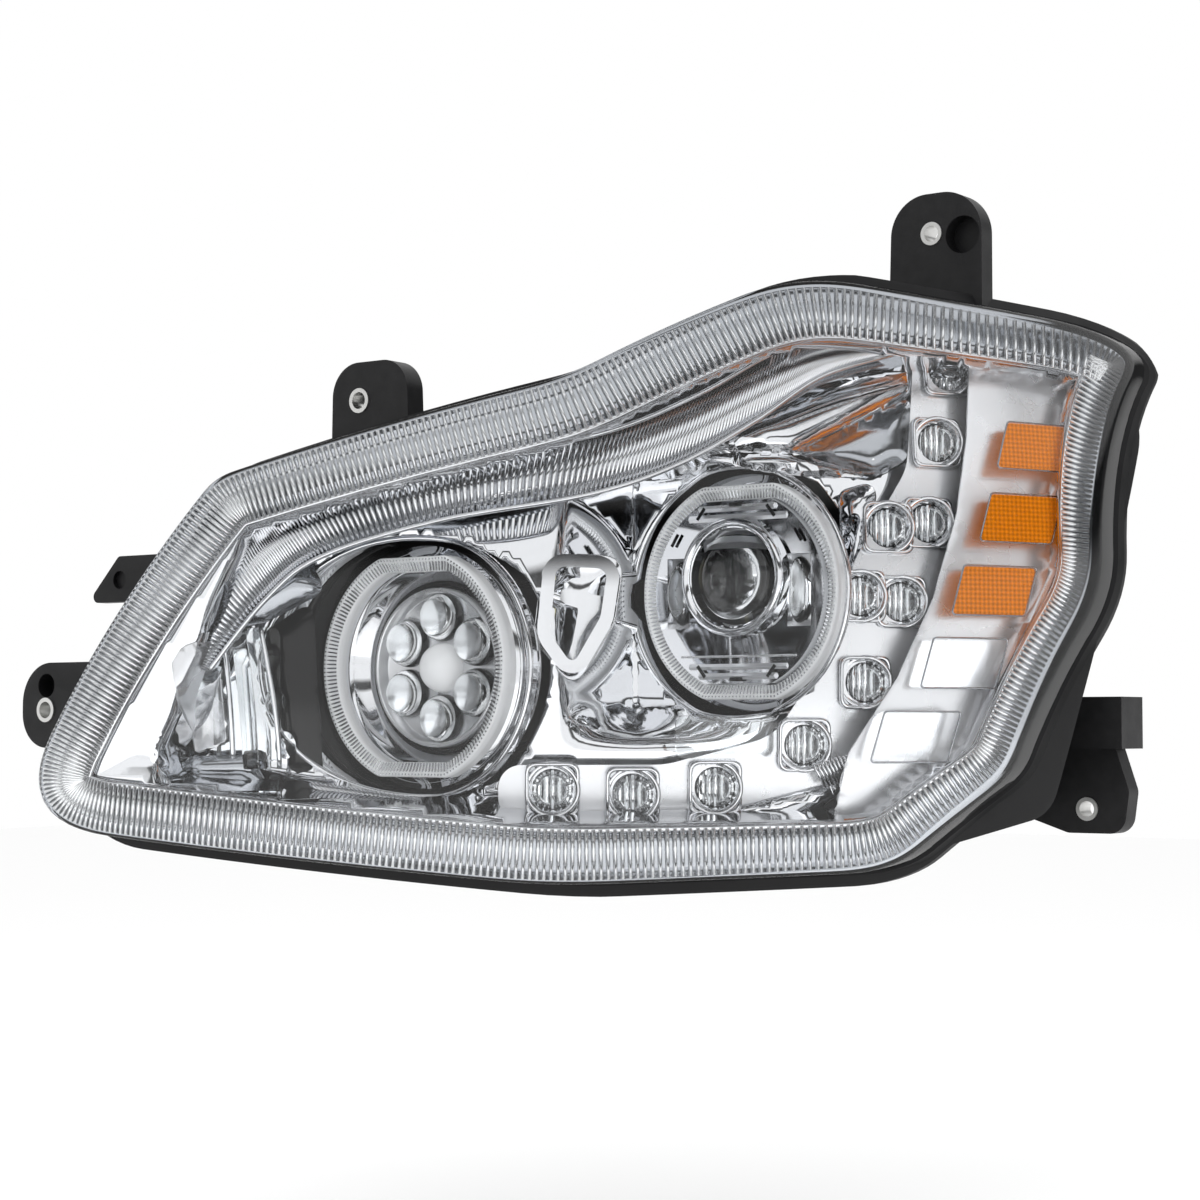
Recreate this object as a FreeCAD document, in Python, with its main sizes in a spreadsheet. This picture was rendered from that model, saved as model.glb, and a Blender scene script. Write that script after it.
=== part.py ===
"""Wrap-around vehicle headlight assembly, written as a parametric FreeCAD document.

Frame: millimetres, +Z up, the lamps shine towards -Y and +X is the outer side of the vehicle.
Places are first written from the lamp datum, then every sub-part is shifted so that the middle
of the upper outer mounting sleeve is the origin.
"""
import FreeCAD, Part
import math
import os

import Sketcher
from FreeCAD import Vector

SIZES = {
    "lens_width": 490.0, "lens_height": 380.0, "lens_wall": 3.0, "skirt_depth": 18.0,
    "barrel_radius": 750.0, "crown_radius": 500.0, "crown_middle": -20.0, "apex_offset": 100.0,
    "seal_depth": 10.0, "flange_depth": 6.0, "flange_reach": 9.0, "side_reach": 1.0, "channel_reach": 8.0,
    "bucket_depth": 240.0, "bucket_wall": 3.0, "bucket_slope": 115.0, "flange_end": 234.0,
    "bezel_depth": 64.0, "bezel_wall": 3.0, "bezel_gap": 3.0, "swing_gap": 5.0,
    "low_x": 14.0, "low_y": 128.0, "low_z": 10.0, "high_x": -128.0, "high_y": -21.0, "high_z": -38.0,
    "halo_radius": 72.5, "flat_inset": 5.0, "halo_band": 9.0, "halo_depth": 12.0,
    "low_step": 14.0, "high_step": 36.0, "carrier_inset": 4.0, "neck_radius": 46.0, "taper_length": 12.0,
    "module_wall": 2.5, "module_depth": 86.0, "pivot_depth": 60.0, "yoke_radius": 50.0, "yoke_wall": 3.0,
    "trunnion_radius": 4.0,
    "running_gap": 0.05, "body_gap": 0.3, "aim_drop": 88.0, "glass_radius": 31.0, "glass_rise": 9.0,
    "optic_radius": 47.0, "optic_sunk": 18.0, "optic_length": 18.0, "screw_radius": 4.0, "boss_radius": 9.0,
    "cap_radius": 52.0, "neck_length": 16.0,
    "sleeve_outer": 7.75, "sleeve_bore": 5.25, "sleeve_length": 17.0, "tab_depth": 15.0,
    "locating_bore": 12.5, "ear_bore": 7.5, "blind_floor": 3.0,
    "upper_outer_x": 74.0, "upper_outer_y": 281.0, "upper_outer_z": 253.0,
    "upper_inner_x": -165.0, "upper_inner_y": -20.0, "upper_inner_z": 128.0,
    "lower_inner_x": -353.0, "lower_inner_y": -105.0, "lower_inner_z": -64.0,
    "lower_outer_x": 150.0, "lower_outer_y": 350.0, "lower_outer_z": -129.0,
    "turn_radius": 12.5, "turn_length": 10.0, "strip_depth": 44.0, "prism_width": 49.0, "prism_height": 30.0,
    "prism_shear": 9.0, "prism_depth": 14.0, "prism_wall": 4.0,
}
VIEW_TURN = math.radians(36.0)
AXIAL = Vector(-math.sin(VIEW_TURN), math.cos(VIEW_TURN), 0.0)
LATERAL = Vector(math.cos(VIEW_TURN), math.sin(VIEW_TURN), 0.0)
FORWARD_Y = Vector(0.0, 1.0, 0.0)
UPWARD_Z = Vector(0.0, 0.0, 1.0)
TILT = FreeCAD.Rotation(UPWARD_Z, math.degrees(VIEW_TURN))
# Every outline is swept from this start over this length, and the drum reaches this far up and down.
SWEEP_START = -400.0
SWEEP_LENGTH = 1200.0
CROWN_HALF = 300.0
# How far a lamp's opening reaches along its axis.
OPENING_REACH = 200.0
# Where the housing's rear wall starts to slope forward, as a share of the width.
SLOPE_SHARE = 0.42

# Corners of the lens face seen along Y: shares of the width and height, and the corner radius.
LENS_CORNERS = (
    (-0.665, -0.350, 40.0), (-0.408, 0.197, 30.0), (-0.071, 0.360, 90.0), (0.094, 0.555, 50.0),
    (0.347, 0.500, 42.0), (0.376, 0.030, 150.0), (0.306, -0.279, 60.0), (0.204, -0.432, 40.0),
    (-0.082, -0.447, 300.0),
)
# Corners of the bucket behind it, seen along the bucket's own axis.
BUCKET_CORNERS = (
    (-0.588, -0.316, 35.0), (-0.437, 0.163, 30.0), (0.010, 0.316, 60.0), (0.245, 0.510, 45.0),
    (0.700, 0.466, 35.0), (0.745, 0.340, 60.0), (0.630, -0.160, 60.0), (0.590, -0.345, 25.0),
    (0.350, -0.425, 60.0), (-0.100, -0.418, 200.0),
)
BROW_CORNERS = (
    (-230.0, -22.0, 8.0), (-188.0, 60.0, 20.0), (0.0, 108.0, 60.0), (100.0, 150.0, 40.0),
    (160.0, 178.0, 25.0), (196.0, 172.0, 8.0), (196.0, 158.0, 4.0), (140.0, 142.0, 30.0),
    (60.0, 92.0, 60.0), (-60.0, 68.0, 60.0), (-170.0, 30.0, 20.0),
)
SIDE_CORNERS = (
    (244.0, 150.0, 20.0), (318.0, 142.0, 12.0), (316.0, 70.0, 60.0), (268.0, -45.0, 60.0),
    (205.0, -112.0, 30.0), (150.0, -118.0, 20.0), (196.0, -50.0, 40.0), (226.0, 40.0, 60.0),
)
STRIP_CORNERS = (
    (205.0, 176.0, 12.0), (242.0, 172.0, 12.0), (240.0, 100.0, 60.0), (228.0, 20.0, 60.0),
    (194.0, -60.0, 50.0), (144.0, -116.0, 50.0), (40.0, -135.0, 80.0), (-62.0, -132.0, 14.0),
    (-62.0, -98.0, 14.0), (40.0, -98.0, 50.0), (108.0, -80.0, 40.0), (142.0, -30.0, 40.0),
    (160.0, 30.0, 40.0), (196.0, 90.0, 40.0),
)
# Snap clips round the edge of the lens, half their size, and their depths behind its surface.
LENS_CLIPS = (
    (-0.430, -0.397), (0.040, -0.448), (0.085, -0.448), (0.010, 0.452), (0.050, 0.532), (-0.436, 0.150),
)
CLIP_HALF = (6.0, 7.0)
CLIP_DEPTHS = (5.0, 14.0)
TEARDROP_CORNERS = (
    (-39.0, -20.0, 20.0), (-34.0, 32.0, 14.0), (14.0, 30.0, 14.0), (8.0, -10.0, 20.0), (-16.0, -52.0, 12.0),
)
COVER_CORNERS = (
    (-238.0, -96.0, 5.0), (-238.0, -14.0, 5.0), (-196.0, -14.0, 5.0), (-196.0, -96.0, 5.0),
)
GUIDE_CORNERS = (
    (46.0, -94.0, 6.0), (46.0, -68.0, 4.0), (109.0, -68.0, 4.0), (109.0, -94.0, 6.0),
)
# Places of the turn signal optics and of the side prisms, across and up from the datum.
TURN_PLACES = (
    (227.0, 157.0), (217.0, 108.0), (182.0, 51.0), (209.0, 55.0), (163.0, 7.0), (190.0, 4.0),
    (166.0, -47.0), (127.0, -86.0), (71.0, -112.0), (20.0, -116.0), (-29.0, -113.0),
)
PRISM_PLACES = (
    ("reflex_upper", 283.0, 106.0), ("reflex_middle", 269.0, 58.0), ("reflex_lower", 249.0, 11.0),
    ("side_window_upper", 228.0, -35.0), ("side_window_lower", 196.0, -81.0),
)


class Size:
    """A length that carries its number and its spreadsheet expression together."""

    def __init__(self, value, text):
        self.value = float(value)
        self.text = text

    def _join(self, other, sign):
        other = other if isinstance(other, Size) else Size(other, repr(float(other)))
        value = {"+": self.value + other.value, "-": self.value - other.value, "*": self.value * other.value}
        return Size(value[sign], "(%s %s %s)" % (self.text, sign, other.text))

    def __add__(self, other):
        return self._join(other, "+")

    def __sub__(self, other):
        return self._join(other, "-")

    def __mul__(self, other):
        return self._join(other, "*")


class Sizes:
    """Reads every driving dimension from the spreadsheet."""

    def __init__(self, sheet):
        self._sheet = sheet

    def __getattr__(self, name):
        return Size(getattr(self._sheet, name), "Sizes." + name)


def make_sheet(doc):
    """The spreadsheet: names in column A, numbers in column B with the name as alias."""
    sheet = doc.addObject("Spreadsheet::Sheet", "Sizes")
    for row, (name, value) in enumerate(SIZES.items(), start=1):
        sheet.set("A%d" % row, name)
        sheet.set("B%d" % row, repr(value))
        sheet.setAlias("B%d" % row, name)
    doc.recompute()
    return sheet


# ---------------------------------------------------------------- shape helpers


def at(across, up, back):
    """A point of the tilted lens frame, as a vector from the lamp datum."""
    return LATERAL * across + AXIAL * back + Vector(0.0, 0.0, up)


def rounded_wire(corners, place):
    """A closed wire through corners (a, b, radius); place turns (a, b) into a point."""
    edges = []
    joints = []
    count = len(corners)
    for index, (a, b, radius) in enumerate(corners):
        corner = Vector(a, b, 0.0)
        before = Vector(*corners[index - 1][:2], 0.0) - corner
        after = Vector(*corners[(index + 1) % count][:2], 0.0) - corner
        inside = before.getAngle(after)
        reach = min(radius / math.tan(inside / 2.0), 0.48 * min(before.Length, after.Length))
        radius = reach * math.tan(inside / 2.0)
        before.normalize()
        after.normalize()
        middle = (before + after).normalize()
        swell = radius / math.sin(inside / 2.0) - radius
        joints.append((corner + before * reach, corner + middle * swell, corner + after * reach))
    for index, (start, middle, end) in enumerate(joints):
        points = [place(point.x, point.y) for point in (start, middle, end)]
        edges.append(Part.Arc(*points).toShape())
        following = joints[(index + 1) % count][0]
        edges.append(Part.LineSegment(points[2], place(following.x, following.y)).toShape())
    return Part.Wire(edges)


def prism(wire, offset, start, length, direction):
    """The solid swept by an offset wire, from start along direction."""
    if abs(offset) > 1e-6:
        wire = wire.makeOffset2D(offset)
    face = Part.Face(wire)
    face.translate(direction * start)
    solid = face.extrude(direction * length)
    return solid if solid.Volume > 0 else solid.reversed()


def lens_prism(s, offset=0.0):
    """The lens outline swept along Y, grown by offset."""
    wide = s.lens_width.value
    high = s.lens_height.value
    corners = [(a * wide, b * high, radius) for a, b, radius in LENS_CORNERS]
    outline = rounded_wire(corners, lambda x, z: Vector(x, 0.0, z))
    return prism(outline, offset, SWEEP_START, SWEEP_LENGTH, FORWARD_Y)


def bucket_prism(s, offset=0.0):
    """The bucket outline swept along the bucket's axis, grown by offset."""
    wide = s.lens_width.value
    high = s.lens_height.value
    corners = [(a * wide, b * high, radius) for a, b, radius in BUCKET_CORNERS]
    return axial_prism(corners, offset)


def axial_prism(corners, offset=0.0):
    """A rounded outline swept along the bucket's axis."""
    outline = rounded_wire(corners, lambda a, b: at(a, b, 0.0))
    return prism(outline, offset, SWEEP_START, SWEEP_LENGTH, AXIAL)


def crown(s, inset=0.0):
    """The crowned drum whose outside is the lens surface, made smaller by inset."""
    crown_radius = s.crown_radius.value - inset
    reach = s.barrel_radius.value - s.crown_radius.value
    middle = s.crown_middle.value
    low = Vector(reach + math.sqrt(crown_radius**2 - CROWN_HALF**2), 0.0, middle - CROWN_HALF)
    high = Vector(low.x, 0.0, middle + CROWN_HALF)
    arc = Part.Arc(low, Vector(reach + crown_radius, 0.0, middle), high).toShape()
    foot = Vector(0.0, 0.0, low.z)
    head = Vector(0.0, 0.0, high.z)
    edges = [arc, Part.makeLine(high, head), Part.makeLine(head, foot), Part.makeLine(foot, low)]
    solid = Part.Face(Part.Wire(edges)).revolve(Vector(0, 0, 0), UPWARD_Z, 360)
    solid = solid if solid.Volume > 0 else solid.reversed()
    solid.translate(at(-s.apex_offset.value, 0.0, s.barrel_radius.value))
    return solid


def behind(s, depth, direction=FORWARD_Y):
    """The space behind the lens surface moved by depth along direction."""
    solid = crown(s)
    solid.translate(direction * depth)
    return solid


def shell(s, start, end, direction):
    """The layer between two moved copies of the lens surface."""
    return behind(s, start, direction).cut(behind(s, end, direction))


def rod(centre, radius, start, end, axis=FORWARD_Y):
    """A cylinder round an axis through centre."""
    return Part.makeCylinder(radius, end - start, centre + axis * start, axis)


def slab(low, high):
    """A box between two corners."""
    return Part.makeBox(high.x - low.x, high.y - low.y, high.z - low.z, low)


def lamp_centre(s, side):
    """Middle of one lamp's front ring."""
    return Vector(*[getattr(s, "%s_%s" % (side, axis)).value for axis in "xyz"])


def mount_centre(s, name):
    """Middle of one mounting sleeve."""
    return Vector(*[getattr(s, "%s_%s" % (name, axis)).value for axis in "xyz"])


def rear_start(s, point):
    """Where the line along Y through a point meets the rear wall's outside."""
    return (s.bucket_depth.value - point.dot(AXIAL)) / AXIAL.y + point.y


# ---------------------------------------------------------------- document helpers


def place_in_frame(thing, s, x=None, y=None, z=None, rotation=None):
    """Binds a sub-part's place to the sheet, measured from the mounting sleeve."""
    if rotation is not None:
        thing.Placement = FreeCAD.Placement(Vector(), rotation)
    for axis, place in zip("xyz", (x, y, z)):
        origin = getattr(s, "upper_outer_" + axis)
        place = Size(0.0, "0.0") if place is None else place
        thing.setExpression("Placement.Base." + axis, (place - origin).text)


def feature(doc, s, label, shape):
    """A sub-part whose freeform shape is built from the sheet's sizes."""
    item = doc.addObject("Part::Feature", label)
    item.Label = label
    item.Shape = shape.removeSplitter()
    place_in_frame(item, s)
    return item


def turned(doc, s, label, corners, place, angle=360.0):
    """A turned body: corners are (radius, station) pairs, revolved round the body's Y axis."""
    body = doc.addObject("PartDesign::Body", label)
    body.Label = label
    sketch = body.newObject("Sketcher::SketchObject", label + "_profile")
    plane = [item for item in body.Origin.OriginFeatures if item.Role == "XY_Plane"][0]
    sketch.AttachmentSupport = [(plane, "")]
    sketch.MapMode = "FlatFace"
    points = [Vector(radius.value, station.value, 0.0) for radius, station in corners]
    lines = [Part.LineSegment(points[i - 1], points[i]) for i in range(len(points))]
    sketch.addGeometry(lines[1:] + lines[:1], False)
    add_corner_constraints(sketch, corners)
    revolution = body.newObject("PartDesign::Revolution", label + "_turn")
    revolution.Profile = sketch
    revolution.ReferenceAxis = (sketch, ["V_Axis"])
    revolution.Angle = angle
    place_in_frame(body, s, *place)
    return body


def add_corner_constraints(sketch, corners):
    """Joins the profile's lines and ties each corner to its two sizes."""
    count = len(corners)
    for index in range(count):
        sketch.addConstraint(Sketcher.Constraint("Coincident", index, 2, (index + 1) % count, 1))
    for index, (radius, station) in enumerate(corners):
        for kind, size in (("DistanceX", radius), ("DistanceY", station)):
            if abs(size.value) < 1e-9:
                line = -2 if kind == "DistanceX" else -1
                sketch.addConstraint(Sketcher.Constraint("PointOnObject", index, 1, line))
                continue
            number = sketch.addConstraint(Sketcher.Constraint(kind, -1, 1, index, 1, size.value))
            sketch.setExpression("Constraints[%d]" % number, size.text)


# ---------------------------------------------------------------- lens, seal and housing


def make_lens(doc, s):
    """Clear outer lens: crowned face, side wall and snap clips."""
    wall = s.lens_wall.value
    block = lens_prism(s).common(shell(s, 0.0, s.skirt_depth.value, FORWARD_Y))
    layer = shell(s, *CLIP_DEPTHS, FORWARD_Y)
    reach = Vector(CLIP_HALF[0], SWEEP_LENGTH, CLIP_HALF[1])
    for across, up in LENS_CLIPS:
        spot = Vector(across * s.lens_width.value, 0.0, up * s.lens_height.value)
        block = block.fuse(slab(spot - reach, spot + reach).common(layer))
    hollow = lens_prism(s, -wall).common(behind(s, wall))
    lens = block.cut(hollow)
    return feature(doc, s, "lens", lens)


def make_seal(doc, s):
    """Rubber seal in the channel behind the lens's side wall."""
    start = s.skirt_depth.value
    ring = lens_prism(s, 1.5).cut(lens_prism(s, -5.0))
    return feature(doc, s, "lens_seal", ring.common(shell(s, start, start + s.seal_depth.value, FORWARD_Y)))


def make_housing(doc, s):
    """Black housing: flange, seal channel, bucket, adjuster bosses, cap necks and ribs."""
    channel = s.skirt_depth.value
    flange = channel + s.seal_depth.value
    back = flange + s.flange_depth.value
    wall = s.bucket_wall.value
    hole = lens_prism(s, -s.channel_reach.value)
    rear_half = rear_space(s, s.bucket_depth.value)
    body = flange_prism(s).common(shell(s, flange, back, FORWARD_Y))
    body = body.common(rear_space(s, s.flange_end.value, False))
    body = body.fuse(lens_prism(s, -5.0).common(shell(s, channel, back, FORWARD_Y)))
    body = body.fuse(bucket_prism(s).common(behind(s, flange)).common(rear_half))
    for solid in rear_fittings(s):
        body = body.fuse(solid)
    inside = bucket_prism(s, -wall)
    cavity = rear_space(s, s.bucket_depth.value - wall)
    body = body.cut(inside.common(behind(s, flange + wall)).common(cavity))
    body = body.cut(hole.common(inside).common(shell(s, 0.0, back + s.flange_reach.value, FORWARD_Y)))
    for solid in rear_holes(s):
        body = body.cut(solid)
    return feature(doc, s, "housing", body)


def flange_prism(s):
    """The flange's outline, which stands out less at the outer side than elsewhere."""
    outline = lens_prism(s, s.flange_reach.value)
    moved = outline.copy()
    moved.translate(Vector(s.side_reach.value - s.flange_reach.value, 0.0, 0.0))
    return outline.common(moved)


def rear_space(s, depth, sloped=True):
    """The space in front of a rear plane, with the housing's sloping inner end."""
    slope = s.bucket_slope.value if sloped else depth
    reach = s.lens_width.value
    bend = SLOPE_SHARE * reach
    points = [(-reach, slope), (-bend, depth), (reach, depth), (reach, SWEEP_START), (-reach, SWEEP_START)]
    wire = Part.makePolygon([at(across, -CROWN_HALF, back) for across, back in points + points[:1]])
    return Part.Face(wire).extrude(Vector(0, 0, 2.0 * CROWN_HALF))


def cap_centre(s, side):
    """Middle of a service cap on the rear wall's outside."""
    centre = lamp_centre(s, side)
    deep = centre + FORWARD_Y * s.module_depth.value
    return at(deep.dot(LATERAL), centre.z + 12.0, s.bucket_depth.value)


def screw_centre(s, side):
    """Axis point of a lamp's aiming screw, level with the pivot."""
    centre = lamp_centre(s, side)
    return centre + Vector(0.0, s.pivot_depth.value, -s.aim_drop.value)


def rear_fittings(s):
    """What stands on the rear wall: cap necks, screw bosses and ribs."""
    solids = []
    for side in ("low", "high"):
        centre = cap_centre(s, side)
        solids.append(rod(centre, s.cap_radius.value + 3.0, -2.0, s.neck_length.value, AXIAL))
        axis = screw_centre(s, side)
        wall = rear_start(s, axis)
        solids.append(rod(Vector(axis.x, 0.0, axis.z), s.boss_radius.value, wall - 18.0, wall + 14.0))
    depth = s.bucket_depth.value
    for across in (-150.0, -70.0, 50.0, 244.0):
        rib = Part.makeBox(4.0, 10.0, 230.0, Vector(across, depth - 4.0, -120.0))
        rib.rotate(Vector(), UPWARD_Z, math.degrees(VIEW_TURN))
        solids.append(rib.common(bucket_prism(s, -12.0)))
    return solids


def rear_holes(s):
    """Openings through the rear wall for the service caps and the aiming screws."""
    solids = []
    for side in ("low", "high"):
        centre = cap_centre(s, side)
        solids.append(rod(centre, s.cap_radius.value, -8.0, s.neck_length.value + 1.0, AXIAL))
        axis = screw_centre(s, side)
        wall = rear_start(s, axis)
        bore = s.screw_radius.value + s.running_gap.value
        solids.append(rod(Vector(axis.x, 0.0, axis.z), bore, wall - 30.0, wall + 30.0))
    return solids


# ---------------------------------------------------------------- fixed inner trim


def inner_space(s):
    """The opening inside the housing that the fixed trim has to stay within."""
    gap = s.bezel_gap.value
    outline = lens_prism(s, -s.channel_reach.value - gap)
    return outline.common(bucket_prism(s, -s.bucket_wall.value - gap))


def make_bezel(doc, s):
    """Main chrome bezel with a shroud round each lamp that also holds its pivots."""
    depth = s.bezel_depth.value
    wall = s.bezel_wall.value
    bezel = inner_space(s).common(shell(s, depth, depth + wall, AXIAL)).common(bezel_room(s))
    inner = s.halo_radius.value + s.swing_gap.value
    for side in ("low", "high"):
        tube = rod(lamp_centre(s, side), inner + wall, -60.0, s.halo_depth.value)
        bezel = bezel.fuse(tube.common(behind(s, depth, AXIAL)).common(bezel_room(s)))
    for side in ("low", "high"):
        bezel = bezel.cut(lamp_opening(s, side))
    return feature(doc, s, "main_bezel", bezel)


def bezel_room(s):
    """The bucket in front of its rear wall, less the trim's gap."""
    depth = s.bucket_depth.value - s.bucket_wall.value - s.bezel_gap.value
    return bucket_prism(s, -s.bucket_wall.value - s.bezel_gap.value).common(rear_space(s, depth))


def lamp_opening(s, side):
    """The stepped space that one lamp sweeps through the trim."""
    centre = lamp_centre(s, side)
    gap = s.swing_gap.value
    step = getattr(s, side + "_step").value
    taper = s.taper_length.value
    wide = s.halo_radius.value - s.carrier_inset.value + gap
    neck = s.yoke_radius.value + s.yoke_wall.value + 0.6 * gap
    space = rod(centre, s.halo_radius.value + gap, -OPENING_REACH, s.halo_depth.value + gap)
    space = space.fuse(rod(centre, wide, -OPENING_REACH, step + gap))
    cone = Part.makeCone(wide, neck, taper, centre + FORWARD_Y * (step + gap), FORWARD_Y)
    return space.fuse(cone).fuse(rod(centre, neck, step, OPENING_REACH))


def patch(s, corners, start, thick):
    """A piece of a moved lens surface inside a rounded outline."""
    return axial_prism(corners).common(shell(s, start, start + thick, AXIAL)).common(inner_space(s))


def make_trim(doc, s):
    """Brow, side reflector, turn signal strip and the fixed light guides."""
    depth = s.bezel_depth.value
    feature(doc, s, "brow_trim", patch(s, BROW_CORNERS, depth - 30.0, 3.0))
    side = patch(s, SIDE_CORNERS, depth - 34.0, 3.0)
    feature(doc, s, "side_reflector", side)
    strip = patch(s, STRIP_CORNERS, s.strip_depth.value, 3.0).cut(lamp_opening(s, "low"))
    hole = s.turn_radius.value + s.body_gap.value
    for across, up in TURN_PLACES:
        strip = strip.cut(rod(at(across, up, 0.0), hole, -OPENING_REACH, 2.0 * OPENING_REACH, AXIAL))
    feature(doc, s, "turn_reflector", strip)
    loop = axial_prism(TEARDROP_CORNERS).cut(axial_prism(TEARDROP_CORNERS, -8.0))
    feature(doc, s, "teardrop_light_guide", loop.common(shell(s, depth - 11.0, depth - 1.0, AXIAL)))
    cover = axial_prism(COVER_CORNERS)
    feature(doc, s, "corner_light_guide", cover.common(shell(s, depth - 12.0, depth - 6.0, AXIAL)))
    guide = axial_prism(GUIDE_CORNERS)
    feature(doc, s, "lower_light_guide", guide.common(shell(s, depth - 31.0, depth - 24.0, AXIAL)))


def make_prisms(doc, s):
    """The slanted reflex prisms and clear windows down the outer side."""
    half_wide = s.prism_width.value / 2.0
    half_high = s.prism_height.value / 2.0
    lean = s.prism_shear.value / 2.0
    for label, across, up in PRISM_PLACES:
        corners = [
            (across + way * half_wide + side * lean, up + side * half_high, 2.0)
            for way, side in ((1.0, 1.0), (-1.0, 1.0), (-1.0, -1.0), (1.0, -1.0))
        ]
        start = s.prism_depth.value
        layer = shell(s, start, start + s.prism_wall.value, AXIAL)
        feature(doc, s, label, axial_prism(corners).common(layer).common(inner_space(s)))


def make_turn_optics(doc, s):
    """Domed optics of the turn signal, each in its own hole of the strip."""
    start = s.strip_depth.value
    for number, (across, up) in enumerate(TURN_PLACES, start=1):
        label = "turn_optic_%02d" % number
        back = drum_depth(s, across, up) + start
        radius = s.turn_radius
        flank = Size(2.0, "2.0")
        zero = Size(0.0, "0.0")
        corners = [
            (zero, zero), (radius * 0.5, flank - 1.4), (radius * 0.85, flank + 0.5),
            (radius, flank + 4.0), (radius, s.turn_length + 2.0), (zero, s.turn_length + 2.0),
        ]
        body = turned(doc, s, label, corners, (None, None, None))
        spot = at(across, up, back - 5.0)
        body.Placement = FreeCAD.Placement(Vector(), TILT)
        places = [Size(value, repr(value)) for value in (spot.x, spot.y, spot.z)]
        place_in_frame(body, s, *places)


def drum_depth(s, across, up):
    """Depth of the lens surface at a place across and up, along the bucket's axis."""
    crown_radius = s.crown_radius.value
    radius = s.barrel_radius.value - crown_radius
    radius += math.sqrt(crown_radius**2 - (up - s.crown_middle.value) ** 2)
    return s.barrel_radius.value - math.sqrt(radius**2 - (across + s.apex_offset.value) ** 2)


# ---------------------------------------------------------------- mounting points


def tab_plate(s, name, corners):
    """A mounting plate across Y: corners are (x, z, radius) from its sleeve."""
    centre = mount_centre(s, name)
    half = s.tab_depth.value / 2.0
    wire = rounded_wire(corners, lambda x, z: centre + Vector(x, 0.0, z))
    return prism(wire, 0.0, -half, 2.0 * half, FORWARD_Y)


def make_mounts(doc, s):
    """Mounting tabs with their pressed-in sleeves and locating holes."""
    outlines = {
        "upper_outer": ((-34.0, -100.0, 2.0), (-30.0, 27.0, 27.0), (37.0, 27.0, 29.0), (37.0, -100.0, 2.0)),
        "upper_inner": ((-24.0, -90.0, 2.0), (-22.0, 24.0, 21.0), (38.0, 24.0, 20.0), (42.0, -80.0, 2.0)),
        "lower_inner": ((-22.0, -24.0, 22.0), (-22.0, 30.0, 26.0), (150.0, 30.0, 2.0), (150.0, -24.0, 2.0)),
        "lower_outer": ((-50.0, -4.0, 6.0), (-50.0, 48.0, 2.0), (18.0, 48.0, 2.0), (30.0, 12.0, 10.0),
                        (26.0, -16.0, 12.0), (-14.0, -16.0, 12.0)),
    }
    labels = {"upper_outer": "upper_outer_tab", "upper_inner": "upper_inner_tab",
              "lower_inner": "lower_inner_ear", "lower_outer": "lower_outer_bracket"}
    keep_out = solid_housing(s)
    for name, corners in outlines.items():
        centre = mount_centre(s, name)
        plate = tab_plate(s, name, corners)
        if name == "lower_outer":
            plate = plate.fuse(slab(centre + Vector(-30.0, -25.0, 40.0), centre + Vector(33.0, 8.0, 74.0)))
        plate = plate.cut(keep_out)
        plate = plate.cut(rod(centre, s.sleeve_outer.value, -60.0, 60.0))
        floor = s.tab_depth.value / 2.0 - s.blind_floor.value
        if name == "upper_outer":
            plate = plate.cut(rod(centre + Vector(23.0, 0.0, -3.0), s.locating_bore.value, -60.0, floor))
        if name == "lower_inner":
            plate = plate.cut(rod(centre + Vector(0.0, 0.0, 15.5), s.ear_bore.value, -60.0, floor))
        feature(doc, s, labels[name], largest(plate))
    for name in outlines:
        place = [getattr(s, "%s_%s" % (name, axis)) for axis in "xyz"]
        zero = Size(0.0, "0.0")
        corners = [(s.sleeve_bore, zero), (s.sleeve_outer, zero),
                   (s.sleeve_outer, s.sleeve_length), (s.sleeve_bore, s.sleeve_length)]
        place[1] = place[1] - s.sleeve_length * 0.5
        turned(doc, s, name + "_sleeve", corners, place)
    return keep_out


def largest(shape):
    """The biggest solid of a shape."""
    return max(shape.Solids, key=lambda solid: solid.Volume)


def solid_housing(s):
    """The housing's outside filled in, for trimming what is moulded on to it."""
    flange = s.skirt_depth.value + s.seal_depth.value
    back = flange + s.flange_depth.value
    rim = flange_prism(s).common(shell(s, flange, back, FORWARD_Y))
    front = lens_prism(s, 1.5).common(shell(s, 0.0, flange, FORWARD_Y))
    bucket = bucket_prism(s).common(behind(s, flange)).common(rear_space(s, s.bucket_depth.value))
    return rim.fuse(front).fuse(bucket)


def make_left_tab(doc, s, keep_out):
    """Small upper locating tab at the inner end."""
    spots = ((-336.0, 4.0, 4.0), (-308.0, 33.0, 4.0), (-180.0, 33.0, 2.0), (-180.0, 4.0, 2.0))
    plate = prism(rounded_wire(spots, lambda x, z: Vector(x, -90.0, z)), 0.0, -4.0, 8.0, FORWARD_Y)
    plate = plate.cut(rod(Vector(-307.0, -90.0, 18.0), 5.7, -5.0, -1.0))
    feature(doc, s, "left_tab", largest(plate.cut(keep_out)))


# ---------------------------------------------------------------- moving lamps


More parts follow.
